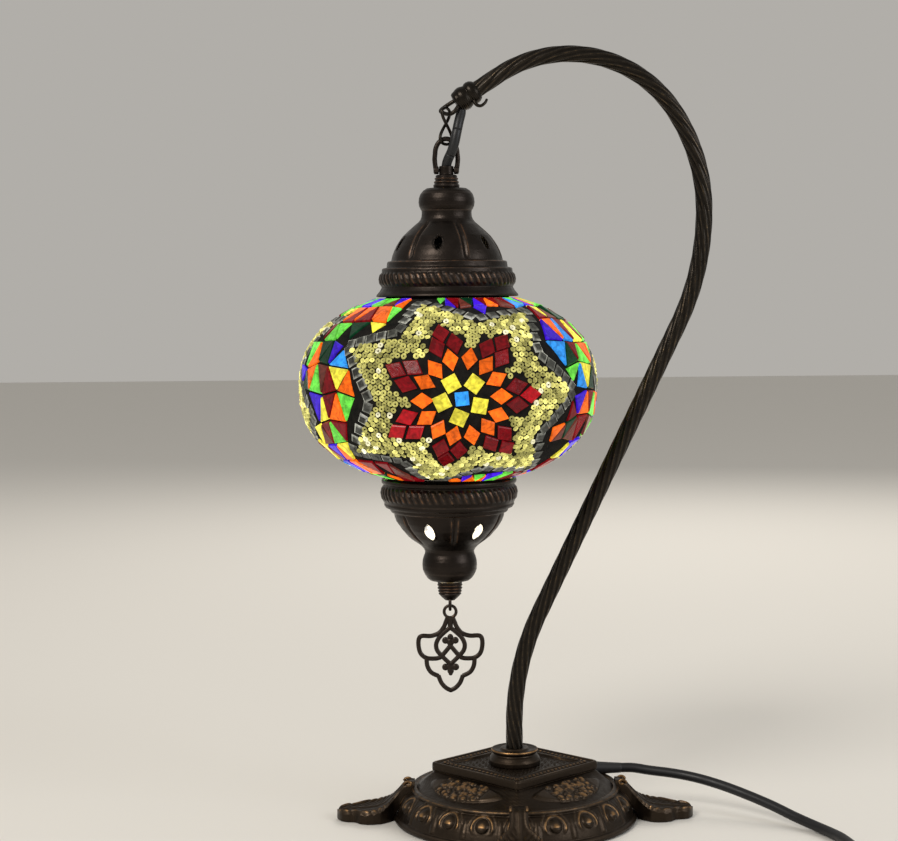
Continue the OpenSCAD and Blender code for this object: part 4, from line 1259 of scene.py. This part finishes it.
def make_pendant(mats):
    heap = Heap()

    def place(points):
        return [(SHADE_X + x, 0, PENDANT_Z + z) for x, z in points]

    for route in (OUTER_PETAL, LOWER_PETAL, BOTTOM_PETAL, OGEE, STRAND):
        for side in (-1, 1):
            path = rounded(place([(side * x, z) for x, z in route]), 7)
            heap.add(*tube(path, 1.3, 12, flat=0.68), 0.3)
    ring = [(3.4 * math.cos(t), 3.4 * math.sin(t)) for t in circle(44)]
    heap.add(*tube(place(ring), 0.9, 12, closed=True, flat=0.95), 0.4)
    heap.add(*tube(rounded(place([(0, -3.6), (0, -6), (0, -9.6)]), 4), 1.5, 12, flat=0.6), 0.3)
    a, b = circle(20), np.linspace(0.02, math.pi - 0.02, 11)[:, None]
    for cx, cz, size in ((0, -14.4, 1.7), (-2.8, -16.4, 2.0), (2.8, -16.4, 2.0), (0, -17.4, 2.2),
                         (0, -33.8, 1.9),
                         (-2.9, -31.6, 2.0), (2.9, -31.6, 2.0), (0, -31.4, 2.2), (0, -35.3, 1.2)):
        r = size * np.sin(b)
        heap.add_grid(np.stack([SHADE_X + cx + r * np.cos(a), 0.88 * np.cos(b) + 0 * a,
                                PENDANT_Z + cz + r * np.sin(a)], -1), 0.3)
    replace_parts(heap.build("pendant_filigree", mats["cap"], "pendant", "cap_bronze"), "pendant")


# ---- Gland, switch and plug ----


def soft_box(half_x, half_y, low, high, corner, edge):
    """Points and faces of an upright rounded block: corner radius in plan, edge radius at the top."""
    c, s = np.cos(circle(96)), np.sin(circle(96))
    outline = np.stack([
        np.sign(c) * (half_x - corner) * (np.abs(c) > 1e-6) + corner * c,
        np.sign(s) * (half_y - corner) * (np.abs(s) > 1e-6) + corner * s,
    ], -1)
    normal = np.stack([c, s], -1)
    rows = [(0.35, low), (0, low + 0.35), (0, high - edge)]
    rows += [(edge * (1 - math.cos(t)), high - edge + edge * math.sin(t)) for t in np.linspace(0, TAU / 4,
                                                                                               7)[1:]]
    layers = [np.concatenate([outline - inset * normal, np.full((96, 1), z)], 1) for inset, z in rows]
    top = layers[-1].copy()
    for share in (0.6, 0.25, 0.02):
        inner = top.copy()
        inner[:, :2] *= share
        layers.append(inner)
    bottom = layers[0].copy()
    bottom[:, :2] *= 0.02
    layers.insert(0, bottom)
    return np.concatenate(layers), grid_faces(len(layers), 96)


def make_switch(mats):
    at = np.array(SWITCH, float)
    points, faces = soft_box(10.95, 30.9, 0.05, 6.4, 8.5, 0.3)
    base = add_mesh("switch_under", points + at, faces, mats["plastic"], "stand", "black_plastic")
    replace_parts(base, "switch_base")
    heap = Heap()
    points, faces = soft_box(10.95, 30.9, 6.5, 14.6, 8.5, 2.6)
    heap.add(points + at, faces)
    for s in (-1, 1):
        for k in range(5):
            y = s * (15.5 + 2.2 * k)
            rib = [(x + at[0], y + at[1], 14.55) for x in np.linspace(-6 + 0.4 * k, 6 - 0.4 * k, 7)]
            heap.add(*tube(rib, 0.42, 8))
    frame_rim = [(-7.4, -10.3), (7.4, -10.3), (7.4, 10.3), (-7.4, 10.3)]
    rim = [(at[0] + x, at[1] + y, 14.55) for x, y in frame_rim]
    dense = resampled(rim + rim[:1], 1.0)[:-1]
    heap.add(*tube(dense, 0.42, 8, closed=True))
    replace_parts(heap.build("switch_over", mats["plastic"], "stand", "black_plastic"), "switch_cover")


def make_gland(mats):
    heap = Heap()
    rows = [(3.45, 29), (3.45, 42.2), (4.3, 42.4), (4.3, 44.5), (4.0, 45.4), (3.6, 50), (3.2, 56), (2.95, 61),
            (2.8, 62.7), (2.65, 63)]
    heap.add_grid(spun_x(resampled(rows, 0.6), 40, (0, 25, 21.5)))
    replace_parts(heap.build("gland_sleeve", mats["plastic"], "stand", "black_plastic"), "cord_gland")


PLUG = (48, -175, 7)


def make_plug(mats):
    """Flat two-pin plug: rounded body with grip ribs and a ribbed sleeve round the cord; bright pins."""
    heap = Heap()
    c, s = np.cos(circle(64)), np.sin(circle(64))
    layers = []
    for x, half in ((18, 5.0), (17.7, 8.2), (16.8, 9.6), (14, 11.6), (10, 13.8), (6, 15.6), (1, 16.8),
                    (-3.6, 17.2),
                    (-4.6, 16.9), (-4.95, 16.0)):
        deep = 6.9 if -4.6 < x < 17 else 6.3
        y = half * np.sign(c) * np.abs(c) ** 0.45
        z = deep * np.sign(s) * np.abs(s) ** 0.6
        layers.append(np.stack([np.full_like(y, x), y, z], -1))
    ends = (1, 0.02, 0.02)
    heap.add_grid(np.array([layers[0] * ends, *layers, layers[-1] * ends]) + PLUG)
    for k in range(4):
        x = PLUG[0] + 13.5 - 2.6 * k
        for way in (-1, 1):
            line = [(x, PLUG[1] + y, PLUG[2] + way * 6.75) for y in np.linspace(-7 - k, 7 + k, 9)]
            heap.add(*tube(line, 0.24, 8))
    rows = [(4.9, 17)]
    for k in range(4):
        x = 17.4 + 1.6 * k
        rows += [(4.6 - 0.33 * k, x), (4.6 - 0.33 * k, x + 0.9), (4.0 - 0.33 * k, x + 1.05),
                 (4.0 - 0.33 * k, x + 1.5)]
    rows += [(3.3, 23.9), (2.7, 24)]
    heap.add_grid(spun_x(resampled(rows, 0.5), 36, PLUG))
    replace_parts(heap.build("plug_moulded", mats["plastic"], "stand", "black_plastic"), "plug_body")


CAD_LOOKS = {
    "steel": ("base_cover", "cover_screws", "arm_washer", "holder_ring", "bulb_base", "globe_carrier",
              "spring_clips",
              "lower_clip", "plug_pins"),
    "brass": ("arm_nipple", "arm_nut", "cap_nipple", "cap_nut", "lower_rod"),
    "felt": ("felt_pad",),
    "cord": ("arm_cable",),
    "holder": ("lamp_holder",),
    "bulb": ("bulb_glass",),
    "glass": ("glass_globe",),
    "red": ("switch_rocker",),
}


def dress_cad_nodes(mats):
    for key, nodes in CAD_LOOKS.items():
        for node in nodes:
            mesh = frame["nodes"][node].data
            mesh.materials.clear()
            mesh.materials.append(mats[key])


mats = make_materials()
place_camera()
make_cords(mats)
place_stage()
dress_cad_nodes(mats)
make_mosaic(mats)
make_caps(mats)
make_arm(mats)
make_hook(mats)
make_link(mats)
make_bail(mats)
make_collar(mats)
make_base(mats)
make_pendant(mats)
make_switch(mats)
make_gland(mats)
make_plug(mats)
